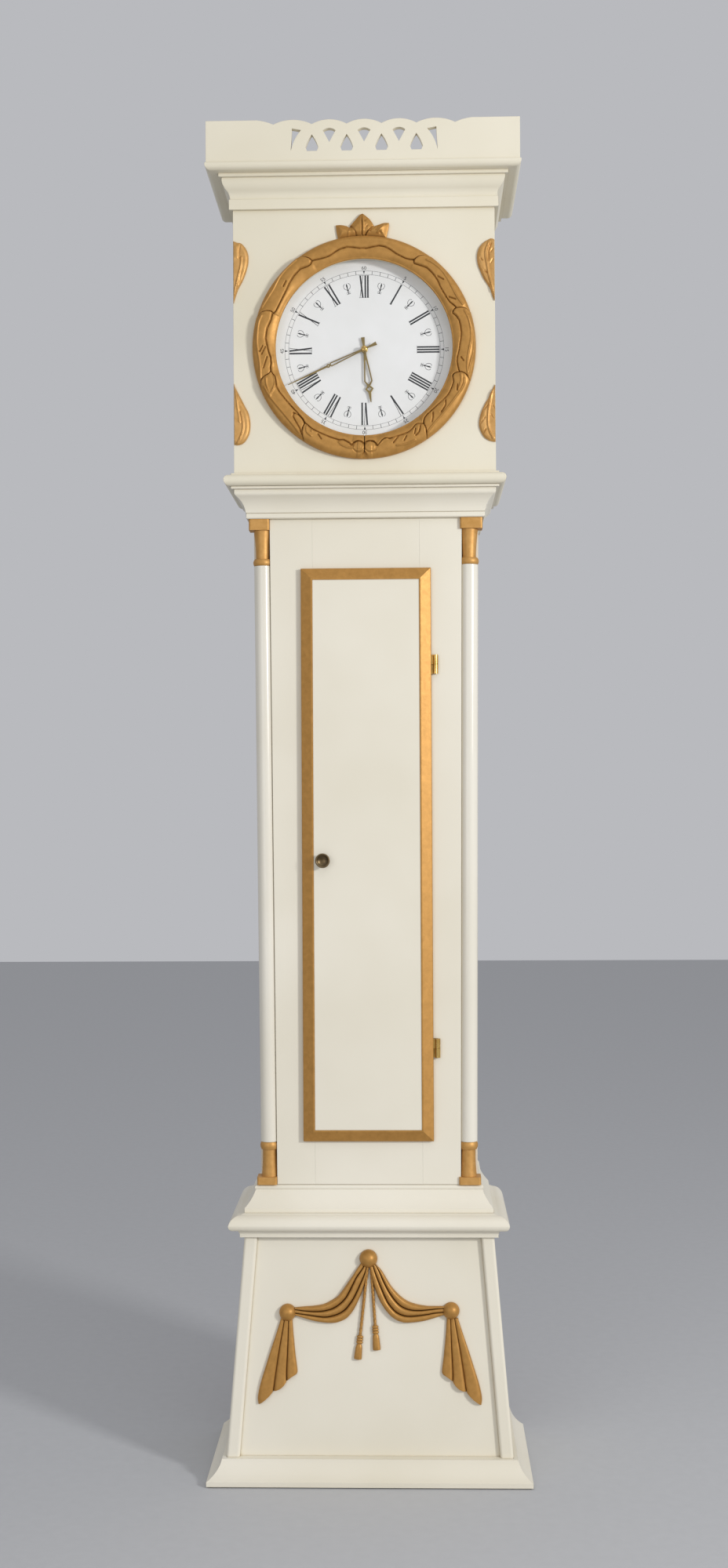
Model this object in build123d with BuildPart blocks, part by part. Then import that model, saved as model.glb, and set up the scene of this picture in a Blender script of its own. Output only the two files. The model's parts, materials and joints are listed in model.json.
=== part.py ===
from build123d import *
import os
from math import asin, atan2, cos, degrees, hypot, pi, radians, sin, sqrt, tan

# A painted longcase clock: a tapered base, a slim trunk with corner columns and an overlaid door, and
# a hood with a round dial that slides forward off the trunk. Millimetres, +Z up, front towards -Y.
# The origin is on the floor under the middle of the clock.

os.makedirs("parts", exist_ok=True)

# ---------------------------------------------------------------- driving dimensions

height = 1950.0
depth = 240.0                   # wall face to the front of the plinth
back_y = depth / 2
front_extra = 8.0               # every level stands this much further forward than its half width
board = 12.0                    # common board thickness
glue_gap = 0.3                  # clearance between pieces of bodies that move apart
reach = 2000.0                  # longer than any board

# Half widths and heights of the mouldings, from the floor up
toe_w, toe_top = 232.0, 8.5
plinth_z0 = 1.8                 # the plinth mouldings hang just clear of the floor
plinth_w, plinth_top = 211.5, 34.5
base_w_top, base_slope = 180.8, 0.080
base_top = 344.5
cap_cove_w, cap_cove_top = 190.5, 355.8
torus_w, torus_widest = 202.4, 364.0
cap_lip_w, cap_top = 181.5, 378.3
ogee_w_low, ogee_low_face = 180.3, 385.2
ogee_w_high, ogee_high = 165.2, 409.2
base_fillet_w, trunk_z0 = 166.0, 416.5
trunk_z1 = 1387.0
trunk_w_top, trunk_slope = 165.0, 0.0069
waist_bead_w, waist_bead_top = 174.0, 1394.0
waist_cove_w, waist_cove_top = 187.5, 1418.5
waist_fascia_w, waist_fascia_top = 189.5, 1427.5
waist_fillet_w, waist_top = 194.0, 1431.0
bullnose_w, bullnose_r = 203.8, 8.0
hood_z0 = 1450.0
hood_w = 189.5
fascia_w, fascia_z0, fascia_top = 195.0, 1832.0, 1846.7
cornice_w_low, cornice_low = 193.4, 1848.5
cornice_w_high, cornice_high = 204.4, 1872.5
cornice_fillet_w, crown_z0 = 208.7, 1880.5
crown_w, crown_top = 226.5, 1890.0
frieze_w = 224.8

# Base
post_w, panel_recess = 19.0, 8.0
floor_board_z = 40.0

# Trunk
trunk_face = -53.5              # front face of the stiles
stile_depth = 20.0
notch = 24.8                    # width of the corner notch that holds a column
column_r, column_inset, column_set_back = 12.9, 13.5, 10.0
door_w, door_z0, door_z1 = 94.7, 480.3, 1313.6
border_w = 17.1
door_back = trunk_face - glue_gap
border_thick_in, border_thick_out, door_panel_thick = 13.2, 7.0, 12.4
hinge_x, hinge_y, knuckle_r = 100.8, -58.2, 3.9
hinge_heights = (615.0, 1173.0)
knuckle_length = 27.6

# Dial, hood front and movement
dial_z = 1630.4
ring_out_r, ring_in_r, ring_depth = 161.2, 127.6, 14.2
hood_face = back_y - hood_w - front_extra
hood_front_thick = 12.0
opening_r = 131.6
dial_r, dial_thick = 145.0, 1.5
dial_face = hood_face + hood_front_thick + 1.0
cheek_top = 1497.0              # the trunk sides carry the seat board inside the hood
seat_top = 1515.0

# ---------------------------------------------------------------- shared helpers


def base_w(z):
    """Half width of the tapered base at height z."""
    return base_w_top + (base_top - z) * base_slope


def trunk_w(z):
    """Half width of the trunk, which narrows a little towards the floor."""
    return trunk_w_top - (trunk_z1 - z) * trunk_slope


def front_y(half_width):
    """How far forward a level of this half width stands."""
    return back_y - half_width - front_extra


def save(builder, label):
    builder.part.label = label
    export_step(builder.part, f"parts/{label}.step")


def save_group(label, *builders):
    """Separate solids that share one node."""
    group = Compound([solid for builder in builders for solid in builder.part.solids()])
    group.label = label
    export_step(group, f"parts/{label}.step")


def cut_board(front_view, side_view):
    """A board from its outline seen from the front (x, z) and from the side (y, z)."""
    with BuildPart() as piece:
        with BuildSketch(Plane.XZ):
            with BuildLine():
                Polyline(*front_view, close=True)
            make_face()
        extrude(amount=reach, both=True)
        with BuildSketch(Plane.YZ):
            with BuildLine():
                Polyline(*side_view, close=True)
            make_face()
        extrude(amount=reach, both=True, mode=Mode.INTERSECT)
    return piece


def box_board(x0, x1, y0, y1, z0, z1):
    return cut_board([(x0, z0), (x1, z0), (x1, z1), (x0, z1)], [(y0, z0), (y1, z0), (y1, z1), (y0, z1)])


def side_view_strip(y0, y1, z0, z1):
    return [(y0, z0), (y1, z0), (y1, z1), (y0, z1)]


def mirrored(builder):
    with BuildPart() as twin:
        add(mirror(builder.part, about=Plane.YZ, mode=Mode.PRIVATE))
    return twin


side_section = Plane(origin=(0, back_y, 0), x_dir=(1, 0, 0), z_dir=(0, -1, 0))
front_section = Plane(origin=(0, back_y - front_extra, 0), x_dir=(0, -1, 0), z_dir=(-1, 0, 0))
mitre_right = Plane(origin=(0, back_y - front_extra, 0), z_dir=(1, 1, 0))
mitre_left = Plane(origin=(0, back_y - front_extra, 0), z_dir=(-1, 1, 0))


def mitred_set(outline, inner_front=None):
    """Front strip and two side strips of one section, mitred at the front corners.

    outline draws the section, x being the half width and y the height; inner_front, where given,
    is the outline of the front strip alone, which may reach further in than the side strips.
    """
    with BuildPart() as front:
        with BuildSketch(front_section):
            with BuildLine():
                (inner_front or outline)()
            make_face()
        extrude(amount=reach, both=True)
        split(bisect_by=mitre_right, keep=Keep.BOTTOM)
        split(bisect_by=mitre_left, keep=Keep.BOTTOM)
    with BuildPart() as right:
        with BuildSketch(side_section):
            with BuildLine():
                outline()
            make_face()
        extrude(amount=reach)
        split(bisect_by=mitre_right, keep=Keep.TOP)
    return front, right, mirrored(right)


def turned(origin, direction, outline):
    """A turned piece: outline draws half its section, x the radius and y the distance along direction."""
    axis = Vector(*direction).normalized()
    across = Vector(0, -1, 0) if abs(axis.Y) < 0.9 else Vector(1, 0, 0)
    section = Plane(origin=origin, x_dir=across, z_dir=across.cross(axis))
    with BuildPart() as piece:
        with BuildSketch(section):
            with BuildLine():
                outline()
            make_face()
        revolve(axis=Axis(origin, tuple(axis)))
    return piece


def rod(origin, direction, radius, length, bore=0.0):
    """A straight round bar or pipe."""
    def outline():
        Polyline((bore, 0), (radius, 0), (radius, length), (bore, length), close=True)
    return turned(origin, direction, outline)


# ---------------------------------------------------------------- base


def plinth_outline(inset=0.0):
    Line((base_w(plinth_z0) - inset, plinth_z0), (toe_w, plinth_z0))
    Line((toe_w, plinth_z0), (toe_w, toe_top))
    ThreePointArc((toe_w, toe_top), (217.7, 20.7), (plinth_w, plinth_top))
    Line((plinth_w, plinth_top), (base_w(plinth_top) - inset, plinth_top))
    Line((base_w(plinth_top) - inset, plinth_top), (base_w(plinth_z0) - inset, plinth_z0))


def cap_outline():
    Line((base_w_top, base_top), (cap_cove_w - 3.7, base_top))
    ThreePointArc((cap_cove_w - 3.7, base_top), (cap_cove_w - 3, 351), (cap_cove_w, cap_cove_top))
    Line((cap_cove_w, cap_cove_top), (196.4, cap_cove_top))
    ThreePointArc((196.4, cap_cove_top), (201.0, 359.2), (torus_w, torus_widest))
    ThreePointArc((torus_w, torus_widest), (197.5, 372.3), (187, 376.6))
    Line((187, 376.6), (cap_lip_w, cap_top))
    Polyline((cap_lip_w, cap_top), (base_fillet_w - 8, cap_top), (base_fillet_w - 8, base_top + 6))
    Polyline((base_fillet_w - 8, base_top + 6), (base_w_top, base_top + 6), (base_w_top, base_top))


def ogee_outline():
    Polyline((base_fillet_w - 8, cap_top), (ogee_w_low, cap_top), (ogee_w_low, ogee_low_face))
    ThreePointArc((ogee_w_low, ogee_low_face), (171.4, 396.2), (ogee_w_high, ogee_high))
    Line((ogee_w_high, ogee_high), (base_fillet_w, ogee_high + 1))
    ThreePointArc((base_fillet_w, ogee_high + 1), (base_fillet_w - 0.4, 414.6), (163.4, trunk_z0))
    Polyline((163.4, trunk_z0), (base_fillet_w - 8, trunk_z0), (base_fillet_w - 8, cap_top))


save_group("plinth_mouldings", *mitred_set(plinth_outline, lambda: plinth_outline(panel_recess)))
save_group("base_cap_mouldings", *mitred_set(cap_outline))
save_group("base_ogee_mouldings", *mitred_set(ogee_outline))


def base_front(z, set_back=0.0):
    return front_y(base_w(z)) + set_back


post_front_view = [
    (base_w(plinth_top) - post_w, plinth_top), (base_w(plinth_top), plinth_top),
    (base_w_top, base_top), (base_w_top - post_w, base_top),
]
post_side_view = [
    (base_front(plinth_top), plinth_top), (base_front(plinth_top, post_w), plinth_top),
    (base_front(base_top, post_w), base_top), (base_front(base_top), base_top),
]
with BuildPart() as base_post_right:
    add(cut_board(post_front_view, post_side_view).part)
    upright_edges = base_post_right.edges().filter_by(lambda edge: edge.length > 200)
    outer_edges = upright_edges.sort_by(Axis.Y)[:2]
    fillet(outer_edges, radius=4)
save_group("base_posts", base_post_right, mirrored(base_post_right))

base_panel = cut_board(
    [(-base_w(0) + post_w, 0), (base_w(0) - post_w, 0),
     (base_w_top - post_w, base_top), (post_w - base_w_top, base_top)],
    [(base_front(0, panel_recess), 0), (base_front(0, post_w), 0),
     (base_front(base_top, post_w), base_top), (base_front(base_top, panel_recess), base_top)],
)
save(base_panel, "base_panel")

base_side_right = cut_board(
    [(base_w(0) - board, 0), (base_w(0), 0), (base_w_top, base_top), (base_w_top - board, base_top)],
    [(base_front(0, post_w), 0), (back_y - 10, 0), (back_y - 10, base_top),
     (base_front(base_top, post_w), base_top)],
)
save_group("base_sides", base_side_right, mirrored(base_side_right))

floor_inner = base_w(floor_board_z + board) - board
base_floor = box_board(
    -floor_inner, floor_inner, base_front(floor_board_z + board, post_w), back_y - 10,
    floor_board_z, floor_board_z + board)
save(base_floor, "base_floor")

# The back board runs from the floor to the hood roof; two holes take the screws that hold it to a wall
wall_hole_x, wall_hole_z, wall_hole_r = 60.0, 1250.0, 3.0
hood_back_w = hood_w - board - 0.8
right_edge = [
    (base_w(0), 0), (base_w_top, base_top), (base_fillet_w - 8, base_top),
    (base_fillet_w - 8, trunk_z0), (trunk_w(trunk_z0), trunk_z0), (trunk_w(hood_z0), hood_z0),
    (hood_back_w, hood_z0), (hood_back_w, crown_z0 - 1),
]
left_edge = [(-x, z) for x, z in reversed(right_edge)]
with BuildPart() as backboard:
    add(cut_board(right_edge + left_edge, side_view_strip(back_y - 10, back_y, 0, crown_z0 - 1)).part)
    with BuildSketch(Plane.XZ.offset(-back_y)):
        with Locations((-wall_hole_x, wall_hole_z), (wall_hole_x, wall_hole_z)):
            Circle(wall_hole_r)
    extrude(amount=20, mode=Mode.SUBTRACT)
save(backboard, "backboard")

# ---------------------------------------------------------------- swag carving on the base panel


def base_panel_plane():
    """Lies on the sloping face of the base panel: x to the right, y up the slope from z = 0."""
    up = Vector(0, base_slope, 1).normalized()
    right = Vector(1, 0, 0)
    return Plane(origin=(0, base_front(0, panel_recess), 0), x_dir=right, z_dir=right.cross(up))


panel_plane = base_panel_plane()
slope_stretch = sqrt(1 + base_slope ** 2)


def on_panel(x, z):
    """Sketch coordinates of the panel point seen at x and height z."""
    return (x, z * slope_stretch)


boss_r, boss_side_x = 12.8, 117.0
boss_places = [(0, 314), (-boss_side_x, 238.5), (boss_side_x, 238.5)]
relief = 9.0


def boss(x, z):
    centre = panel_plane.from_local_coords(Vector(*on_panel(x, z), 0))

    def outline():
        ThreePointArc((boss_r, 0), (boss_r * 0.76, relief * 0.75), (2, relief + 2))
        Polyline((2, relief + 2), (0, relief + 2), (0, 0), (boss_r, 0))
    return turned(tuple(centre), tuple(panel_plane.z_dir), outline)


save_group("swag_bosses", *[boss(x, z) for x, z in boss_places])


def relief_piece(points, thickness, rounded=True):
    """A carved ornament of this outline on the base panel."""
    corners = [on_panel(x, z) for x, z in points]
    with BuildPart() as ornament:
        with BuildSketch(panel_plane):
            with BuildLine():
                if rounded:
                    Spline(*corners, periodic=True)
                else:
                    Polyline(*corners, close=True)
            make_face()
        extrude(amount=thickness)
    return ornament


festoon_outline = [
    (12, 297), (23, 284), (39, 263.5), (57, 250.5), (78, 246), (101, 245), (102.5, 233),
    (78, 226.5), (57, 222.5), (41, 224), (29.5, 231), (20, 245), (13, 263), (8.2, 283), (8.4, 293),
]
drop_outline = [
    (110, 222), (108.3, 201), (104.8, 168.7), (103.6, 148), (114, 141), (118.6, 135.3), (126.7, 126),
    (135.9, 123.7), (140.6, 120.2), (149.7, 111.1), (160.1, 105.3), (162.5, 116.9), (156.7, 136.4),
    (147.5, 168.7), (135.9, 201), (127.5, 222),
]
festoon_left = relief_piece([(-x, z) for x, z in festoon_outline], relief)
save_group("swag_festoons", festoon_left, mirrored(festoon_left))
drop_left = relief_piece([(-x, z) for x, z in drop_outline], relief - 1, rounded=False)
save_group("swag_drops", drop_left, mirrored(drop_left))


def tassel(top_x, top_z, knot_x, knot_z, skirt):
    """A cord from the middle boss down to a tassel with a flared skirt."""
    lean = atan2(knot_x - top_x, top_z - knot_z)

    def at(along, across):
        return on_panel(top_x + sin(lean) * along + cos(lean) * across,
                        top_z - cos(lean) * along + sin(lean) * across)
    run = hypot(knot_x - top_x, top_z - knot_z)
    half_widths = [(0, 2.1), (run, 2.1), (run, 4.4), (run + 5, 5.6), (run + 11, 4.0), (run + 14, 5.2),
                   (run + skirt, 7.2)]
    with BuildPart() as hanging:
        with BuildSketch(panel_plane):
            with BuildLine():
                Polyline(*[at(along, half) for along, half in half_widths],
                         *[at(along, -half) for along, half in reversed(half_widths)], close=True)
            make_face()
        extrude(amount=5)
    return hanging


save_group("swag_tassels", tassel(-2.6, 300, -13.4, 203.3, 33), tassel(2.8, 298, 8.2, 217.3, 34))

# ---------------------------------------------------------------- trunk


def stile_edge(z):
    return trunk_w(z) - notch


door_opening_x = door_w - border_w + 0.6
opening_z0, opening_z1 = door_z0 + border_w - 0.6, door_z1 - border_w + 0.6
stile_back = trunk_face + stile_depth
stile_z1 = waist_top
leaf_w, leaf_thick = 17.0, 1.0


def make_stile(side):
    """Front board beside the door opening, with the corner block behind the column."""
    front = [(side * door_opening_x, trunk_z0), (side * stile_edge(trunk_z0), trunk_z0),
             (side * stile_edge(stile_z1), stile_z1), (side * door_opening_x, stile_z1)]
    block = [(side * (stile_edge(trunk_z0) - 10), trunk_z0), (side * (trunk_w(trunk_z0) - board), trunk_z0),
             (side * (trunk_w(stile_z1) - board), stile_z1), (side * (stile_edge(stile_z1) - 10), stile_z1)]
    with BuildPart() as stile:
        add(cut_board(front, side_view_strip(trunk_face, stile_back, trunk_z0, stile_z1)).part)
        add(cut_board(block, side_view_strip(stile_back, stile_back + 16, trunk_z0, stile_z1)).part)
    return stile


trunk_stile_left = make_stile(-1)
with BuildPart() as trunk_stile_right:
    add(make_stile(1).part)
    for hinge_z in hinge_heights:
        add(box_board(hinge_x - leaf_w, hinge_x + 0.5, trunk_face - 1, trunk_face + leaf_thick,
                      hinge_z - knuckle_length / 2, hinge_z + knuckle_length / 2).part, mode=Mode.SUBTRACT)
save(trunk_stile_left, "trunk_stile_left")
save(trunk_stile_right, "trunk_stile_right")

rail_low = box_board(-door_opening_x, door_opening_x, trunk_face, stile_back, trunk_z0, opening_z0)
rail_high = box_board(-door_opening_x, door_opening_x, trunk_face, stile_back, opening_z1, stile_z1)
save_group("trunk_rails", rail_low, rail_high)

side_front = stile_back
trunk_side_right = cut_board(
    [(trunk_w(trunk_z0) - board, trunk_z0), (trunk_w(trunk_z0), trunk_z0),
     (trunk_w(cheek_top), cheek_top), (trunk_w(cheek_top) - board, cheek_top)],
    side_view_strip(side_front, back_y - 10, trunk_z0, cheek_top))
save_group("trunk_sides", trunk_side_right, mirrored(trunk_side_right))

# Columns: turned, then cut away on the inner side and at the back to sit in the corner notch
ring_high_z, ring_low_z = (1319.2, 1329.2), (466.8, 478.2)
abacus_z0 = 1371.0
base_block_top = 427.5
column_y = trunk_face + column_set_back
column_dir = (trunk_slope, 0, 1)


def column_foot(z):
    return (trunk_w(z) - column_inset, column_y, z)


def fitted(piece):
    """The right-hand piece without what the stile and the trunk side already fill."""
    with BuildPart() as cut:
        add(piece.part)
        add(make_stile(1).part, mode=Mode.SUBTRACT)
        add(trunk_side_right.part, mode=Mode.SUBTRACT)
    return cut


def shaft_outline():
    length = ring_high_z[0] - ring_low_z[1]
    Polyline((0, 0), (column_r, 0), (column_r, length), (0, length), close=True)


def capital_outline():
    ring = ring_high_z[1] - ring_high_z[0]
    bell_top = abacus_z0 - ring_high_z[0]
    Line((0, 0), (column_r - 0.6, 0))
    ThreePointArc((column_r - 0.6, 0), (column_r + 1.2, ring / 2), (column_r - 0.6, ring))
    Line((column_r - 0.6, ring), (9.9, ring))
    ThreePointArc((9.9, ring), (10.9, bell_top * 0.65), (12.8, bell_top))
    Polyline((12.8, bell_top), (0, bell_top), (0, 0))


def foot_outline():
    neck = ring_low_z[0] - base_block_top
    ring_top = ring_low_z[1] - base_block_top
    Line((0, 0), (11.9, 0))
    ThreePointArc((11.9, 0), (10.7, neck * 0.4), (10.3, neck))
    Line((10.3, neck), (column_r - 0.8, neck))
    ThreePointArc((column_r - 0.8, neck), (column_r + 0.8, (neck + ring_top) / 2), (column_r - 0.8, ring_top))
    Polyline((column_r - 0.8, ring_top), (0, ring_top), (0, 0))


def corner_block(z0, z1, overhang, lap):
    """The square block above or below a column, proud of the trunk's faces; lap is how far it
    covers the stile beside it."""
    block_x1 = trunk_w((z0 + z1) / 2) + overhang
    with BuildPart() as block:
        add(box_board(stile_edge(z0) - lap, block_x1, trunk_face - overhang, stile_back + 2, z0, z1).part)
        fillet(block.edges().filter_by(Axis.Z).sort_by(Axis.Y)[:2], radius=3.0)
        add(make_stile(1).part, mode=Mode.SUBTRACT)
        add(trunk_side_right.part, mode=Mode.SUBTRACT)
    return block


lap_right, lap_left = 2.4, -0.3


def with_block(turned_end, z0, z1, overhang, lap):
    """A capital or foot and its block in one piece."""
    with BuildPart() as piece:
        add(turned_end.part)
        add(corner_block(z0, z1, overhang, lap).part)
    return piece


shaft = fitted(turned(column_foot(ring_low_z[1]), column_dir, shaft_outline))
save_group("column_shafts", shaft, mirrored(shaft))
capital = fitted(turned(column_foot(ring_high_z[0]), column_dir, capital_outline))
save_group("column_capitals", with_block(capital, abacus_z0, trunk_z1, 5.5, lap_right),
           mirrored(with_block(capital, abacus_z0, trunk_z1, 5.5, lap_left)))
foot = fitted(turned(column_foot(base_block_top), column_dir, foot_outline))
save_group("column_bases", with_block(foot, trunk_z0, base_block_top, 4.5, lap_right),
           mirrored(with_block(foot, trunk_z0, base_block_top, 4.5, lap_left)))


def waist_outline():
    inner = trunk_w_top + 0.5
    Polyline((inner, trunk_z1), (waist_bead_w - 1.2, trunk_z1), (waist_bead_w, trunk_z1 + 1.2))
    Polyline((waist_bead_w, trunk_z1 + 1.2), (waist_bead_w, waist_bead_top), (waist_bead_w - 0.8, waist_bead_top + 0.8))
    Line((waist_bead_w - 0.8, waist_bead_top + 0.8), (waist_bead_w + 0.3, waist_bead_top + 1.4))
    ThreePointArc((waist_bead_w + 0.3, waist_bead_top + 1.4), (178.6, 1408.5), (waist_cove_w, waist_cove_top))
    ThreePointArc((waist_cove_w, waist_cove_top), (188.9, 1420.2), (waist_fascia_w, 1422.5))
    Polyline((waist_fascia_w, 1422.5), (waist_fascia_w, waist_fascia_top), (waist_fillet_w, waist_fascia_top))
    Polyline((waist_fillet_w, waist_fascia_top), (waist_fillet_w, waist_top), (inner, waist_top), (inner, trunk_z1))


save_group("waist_mouldings", *mitred_set(waist_outline))

seat_board = box_board(-trunk_w(cheek_top), trunk_w(cheek_top), -45, back_y - 10, cheek_top, seat_top)
chain_x, chain_y = 25.5, 0.0
chain_slot, pendulum_slot_x = 13.0, 48.0
pendulum_y = 42.0
with BuildPart() as seat_board_cut:
    add(seat_board.part)
    with BuildSketch(Plane.XY.offset(cheek_top)):
        with Locations((-chain_x, chain_y), (chain_x, chain_y)):
            Rectangle(chain_slot, chain_slot)
        with Locations((0, pendulum_y)):
            Rectangle(pendulum_slot_x, 18)
    extrude(amount=seat_top - cheek_top, mode=Mode.SUBTRACT)
save(seat_board_cut, "seat_board")

# ---------------------------------------------------------------- door

panel_x = door_w - border_w
panel_z0, panel_z1 = door_z0 + border_w, door_z1 - border_w
knob_x, knob_z, knob_r = -64.2, 888.5, 10.6
knob_screw_r = 1.6

with BuildPart() as door_panel:
    add(box_board(-panel_x, panel_x, door_back - door_panel_thick, door_back, panel_z0, panel_z1).part)
    with BuildSketch(Plane.XZ.offset(-door_back - 1)):
        with Locations((knob_x, knob_z)):
            Circle(knob_screw_r)
    extrude(amount=door_panel_thick + 2, mode=Mode.SUBTRACT)
save(door_panel, "door_panel")


def border_strip(length, outer, plane):
    """One strip of the bevelled border, its section drawn across the strip and mitred at both ends."""
    with BuildPart() as strip:
        with BuildSketch(plane):
            with BuildLine():
                Polyline((outer, 0), (outer - border_w, 0), (outer - border_w, border_thick_in),
                         (outer - border_w + 2.0, border_thick_in), (outer - 0.8, border_thick_out),
                         (outer, border_thick_out - 0.8), close=True)
            make_face()
        extrude(amount=length / 2, both=True)
    return strip


door_mid = (door_z0 + door_z1) / 2
half_tall = (door_z1 - door_z0) / 2


def border_side(sx):
    plane = Plane(origin=(0, door_back, door_mid), x_dir=(sx, 0, 0), z_dir=(0, 0, -sx))
    strip = border_strip(2 * half_tall, door_w, plane)
    with BuildPart() as mitred:
        add(strip.part)
        for sz in (-1, 1):
            corner = (sx * door_w, door_back, door_mid + sz * half_tall)
            split(bisect_by=Plane(origin=corner, z_dir=(sx, 0, -sz)), keep=Keep.TOP)
    return mitred


def border_end(sz):
    plane = Plane(origin=(0, door_back, door_mid), x_dir=(0, 0, sz), z_dir=(sz, 0, 0))
    strip = border_strip(2 * door_w, half_tall, plane)
    with BuildPart() as mitred:
        add(strip.part)
        for sx in (-1, 1):
            corner = (sx * door_w, door_back, door_mid + sz * half_tall)
            split(bisect_by=Plane(origin=corner, z_dir=(-sx, 0, sz)), keep=Keep.TOP)
    return mitred


save_group("door_border", border_side(-1), border_side(1), border_end(-1), border_end(1))


def knob_outline():
    """A small dished knob on a neck; its screw passes through the door panel."""
    Line((0, -door_panel_thick), (knob_screw_r, -door_panel_thick))
    Line((knob_screw_r, -door_panel_thick), (knob_screw_r, 0))
    Line((knob_screw_r, 0), (7.2, 0))
    ThreePointArc((7.2, 0), (6.2, 1.5), (4.4, 2.6))
    ThreePointArc((4.4, 2.6), (4.6, 5.0), (6.8, 7.2))
    ThreePointArc((6.8, 7.2), (9.9, 9.2), (knob_r, 11.6))
    ThreePointArc((knob_r, 11.6), (9.6, 13.0), (8.2, 12.6))
    ThreePointArc((8.2, 12.6), (4.6, 10.2), (1.2, 9.5))
    Polyline((1.2, 9.5), (0, 9.5), (0, -door_panel_thick))


door_knob = turned((knob_x, door_back - door_panel_thick, knob_z), (0, -1, 0), knob_outline)
save(door_knob, "door_knob")


def knuckle(z0, z1):
    return rod((hinge_x, hinge_y, z0), (0, 0, 1), knuckle_r, z1 - z0, bore=1.45)


def door_leaf(z):
    """Upper knuckle and the plate screwed to the door's edge."""
    with BuildPart() as leaf:
        add(knuckle(z + 0.2, z + knuckle_length / 2).part)
        add(box_board(door_w, door_w + leaf_thick, door_back - border_thick_out + 0.8, door_back - 0.2,
                      z + 0.2, z + knuckle_length / 2).part)
        add(box_board(door_w, hinge_x - 2.2, hinge_y - 0.5, hinge_y + 0.5, z + 0.2, z + knuckle_length / 2).part)
    return leaf


def case_leaf(z):
    """Lower knuckle with its pin, and the plate let into the stile."""
    with BuildPart() as leaf:
        add(rod((hinge_x, hinge_y, z - knuckle_length / 2), (0, 0, 1), knuckle_r, knuckle_length / 2 - 0.2).part)
        add(rod((hinge_x, hinge_y, z - 0.2), (0, 0, 1), 1.4, knuckle_length / 2).part)
        add(box_board(hinge_x - leaf_w, hinge_x + 0.5, trunk_face, trunk_face + leaf_thick,
                      z - knuckle_length / 2, z + knuckle_length / 2).part)
        add(box_board(hinge_x - 0.5, hinge_x + 0.5, hinge_y + 2, trunk_face + leaf_thick,
                      z - knuckle_length / 2, z - 0.2).part)
    return leaf


save_group("hinge_door_leaves", *[door_leaf(z) for z in hinge_heights])
save_group("hinge_case_leaves", *[case_leaf(z) for z in hinge_heights])

# A magnet let into the left stile holds the door shut
door_catch = box_board(-door_opening_x - 11, -door_opening_x - 3, trunk_face, trunk_face + 8, 880, 897)
with BuildPart() as stile_with_catch:
    add(trunk_stile_left.part)
    add(door_catch.part, mode=Mode.SUBTRACT)
save(stile_with_catch, "trunk_stile_left")
save(door_catch, "door_catch")

# ---------------------------------------------------------------- hood

hood_rest = waist_top + glue_gap
bullnose_mid = hood_rest + bullnose_r


def hood_base_outline():
    inner = trunk_w_top + 1.4
    low, high = hood_rest, hood_rest + 2 * bullnose_r
    Line((inner, low), (bullnose_w - bullnose_r, low))
    ThreePointArc((bullnose_w - bullnose_r, low), (bullnose_w, bullnose_mid), (bullnose_w - bullnose_r, high))
    Polyline((bullnose_w - bullnose_r, high), (waist_fillet_w, high), (waist_fillet_w, hood_z0))
    Polyline((waist_fillet_w, hood_z0), (inner, hood_z0), (inner, low))


save_group("hood_base_frame", *mitred_set(hood_base_outline))

with BuildPart() as hood_front:
    add(box_board(-hood_w, hood_w, hood_face, hood_face + hood_front_thick, hood_z0, crown_z0).part)
    with BuildSketch(Plane.XZ.offset(-hood_face - hood_front_thick - 1)):
        with Locations((0, dial_z)):
            Circle(opening_r)
    extrude(amount=hood_front_thick + 2, mode=Mode.SUBTRACT)
save(hood_front, "hood_front")

hood_side_right = box_board(hood_w - board, hood_w, hood_face + hood_front_thick, back_y, hood_z0, crown_z0)
save(hood_side_right, "hood_side_right")
save(mirrored(hood_side_right), "hood_side_left")


def cornice_outline():
    inner = hood_w
    Polyline((inner, fascia_z0), (fascia_w, fascia_z0), (fascia_w, fascia_top), (cornice_w_low, fascia_top))
    Line((cornice_w_low, fascia_top), (cornice_w_low, cornice_low))
    ThreePointArc((cornice_w_low, cornice_low), (194.6, 1854.2), (198.4, 1859.6))
    ThreePointArc((198.4, 1859.6), (202.6, 1865.8), (cornice_w_high, cornice_high))
    Polyline((cornice_w_high, cornice_high), (cornice_w_high, 1875.5), (cornice_fillet_w, 1875.5))
    Polyline((cornice_fillet_w, 1875.5), (cornice_fillet_w, crown_z0), (inner, crown_z0), (inner, fascia_z0))


save_group("hood_cornice", *mitred_set(cornice_outline))

with BuildPart() as crown_board:
    add(box_board(-crown_w, crown_w, front_y(crown_w), back_y, crown_z0, crown_top).part)
    low_edges = crown_board.faces().sort_by(Axis.Z)[0].edges()
    front_and_sides = low_edges.filter_by(lambda edge: edge.center().Y < back_y - 1)
    fillet(front_and_sides, radius=7.5)
save(crown_board, "crown_board")

# Pierced cresting board: interlaced arches, so pointed piercings alternate with hanging ones
frieze_thick = 9.0
frieze_face = front_y(frieze_w) + 0.8
fret_pitch, fret_shift = 49.8, 2.3
scallop_drop = 6.5
scallop_steps = (-1.5, -0.5, 0.5, 1.5)
shoulder_x, outer_notch_x = 154.0, 130.0


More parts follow.
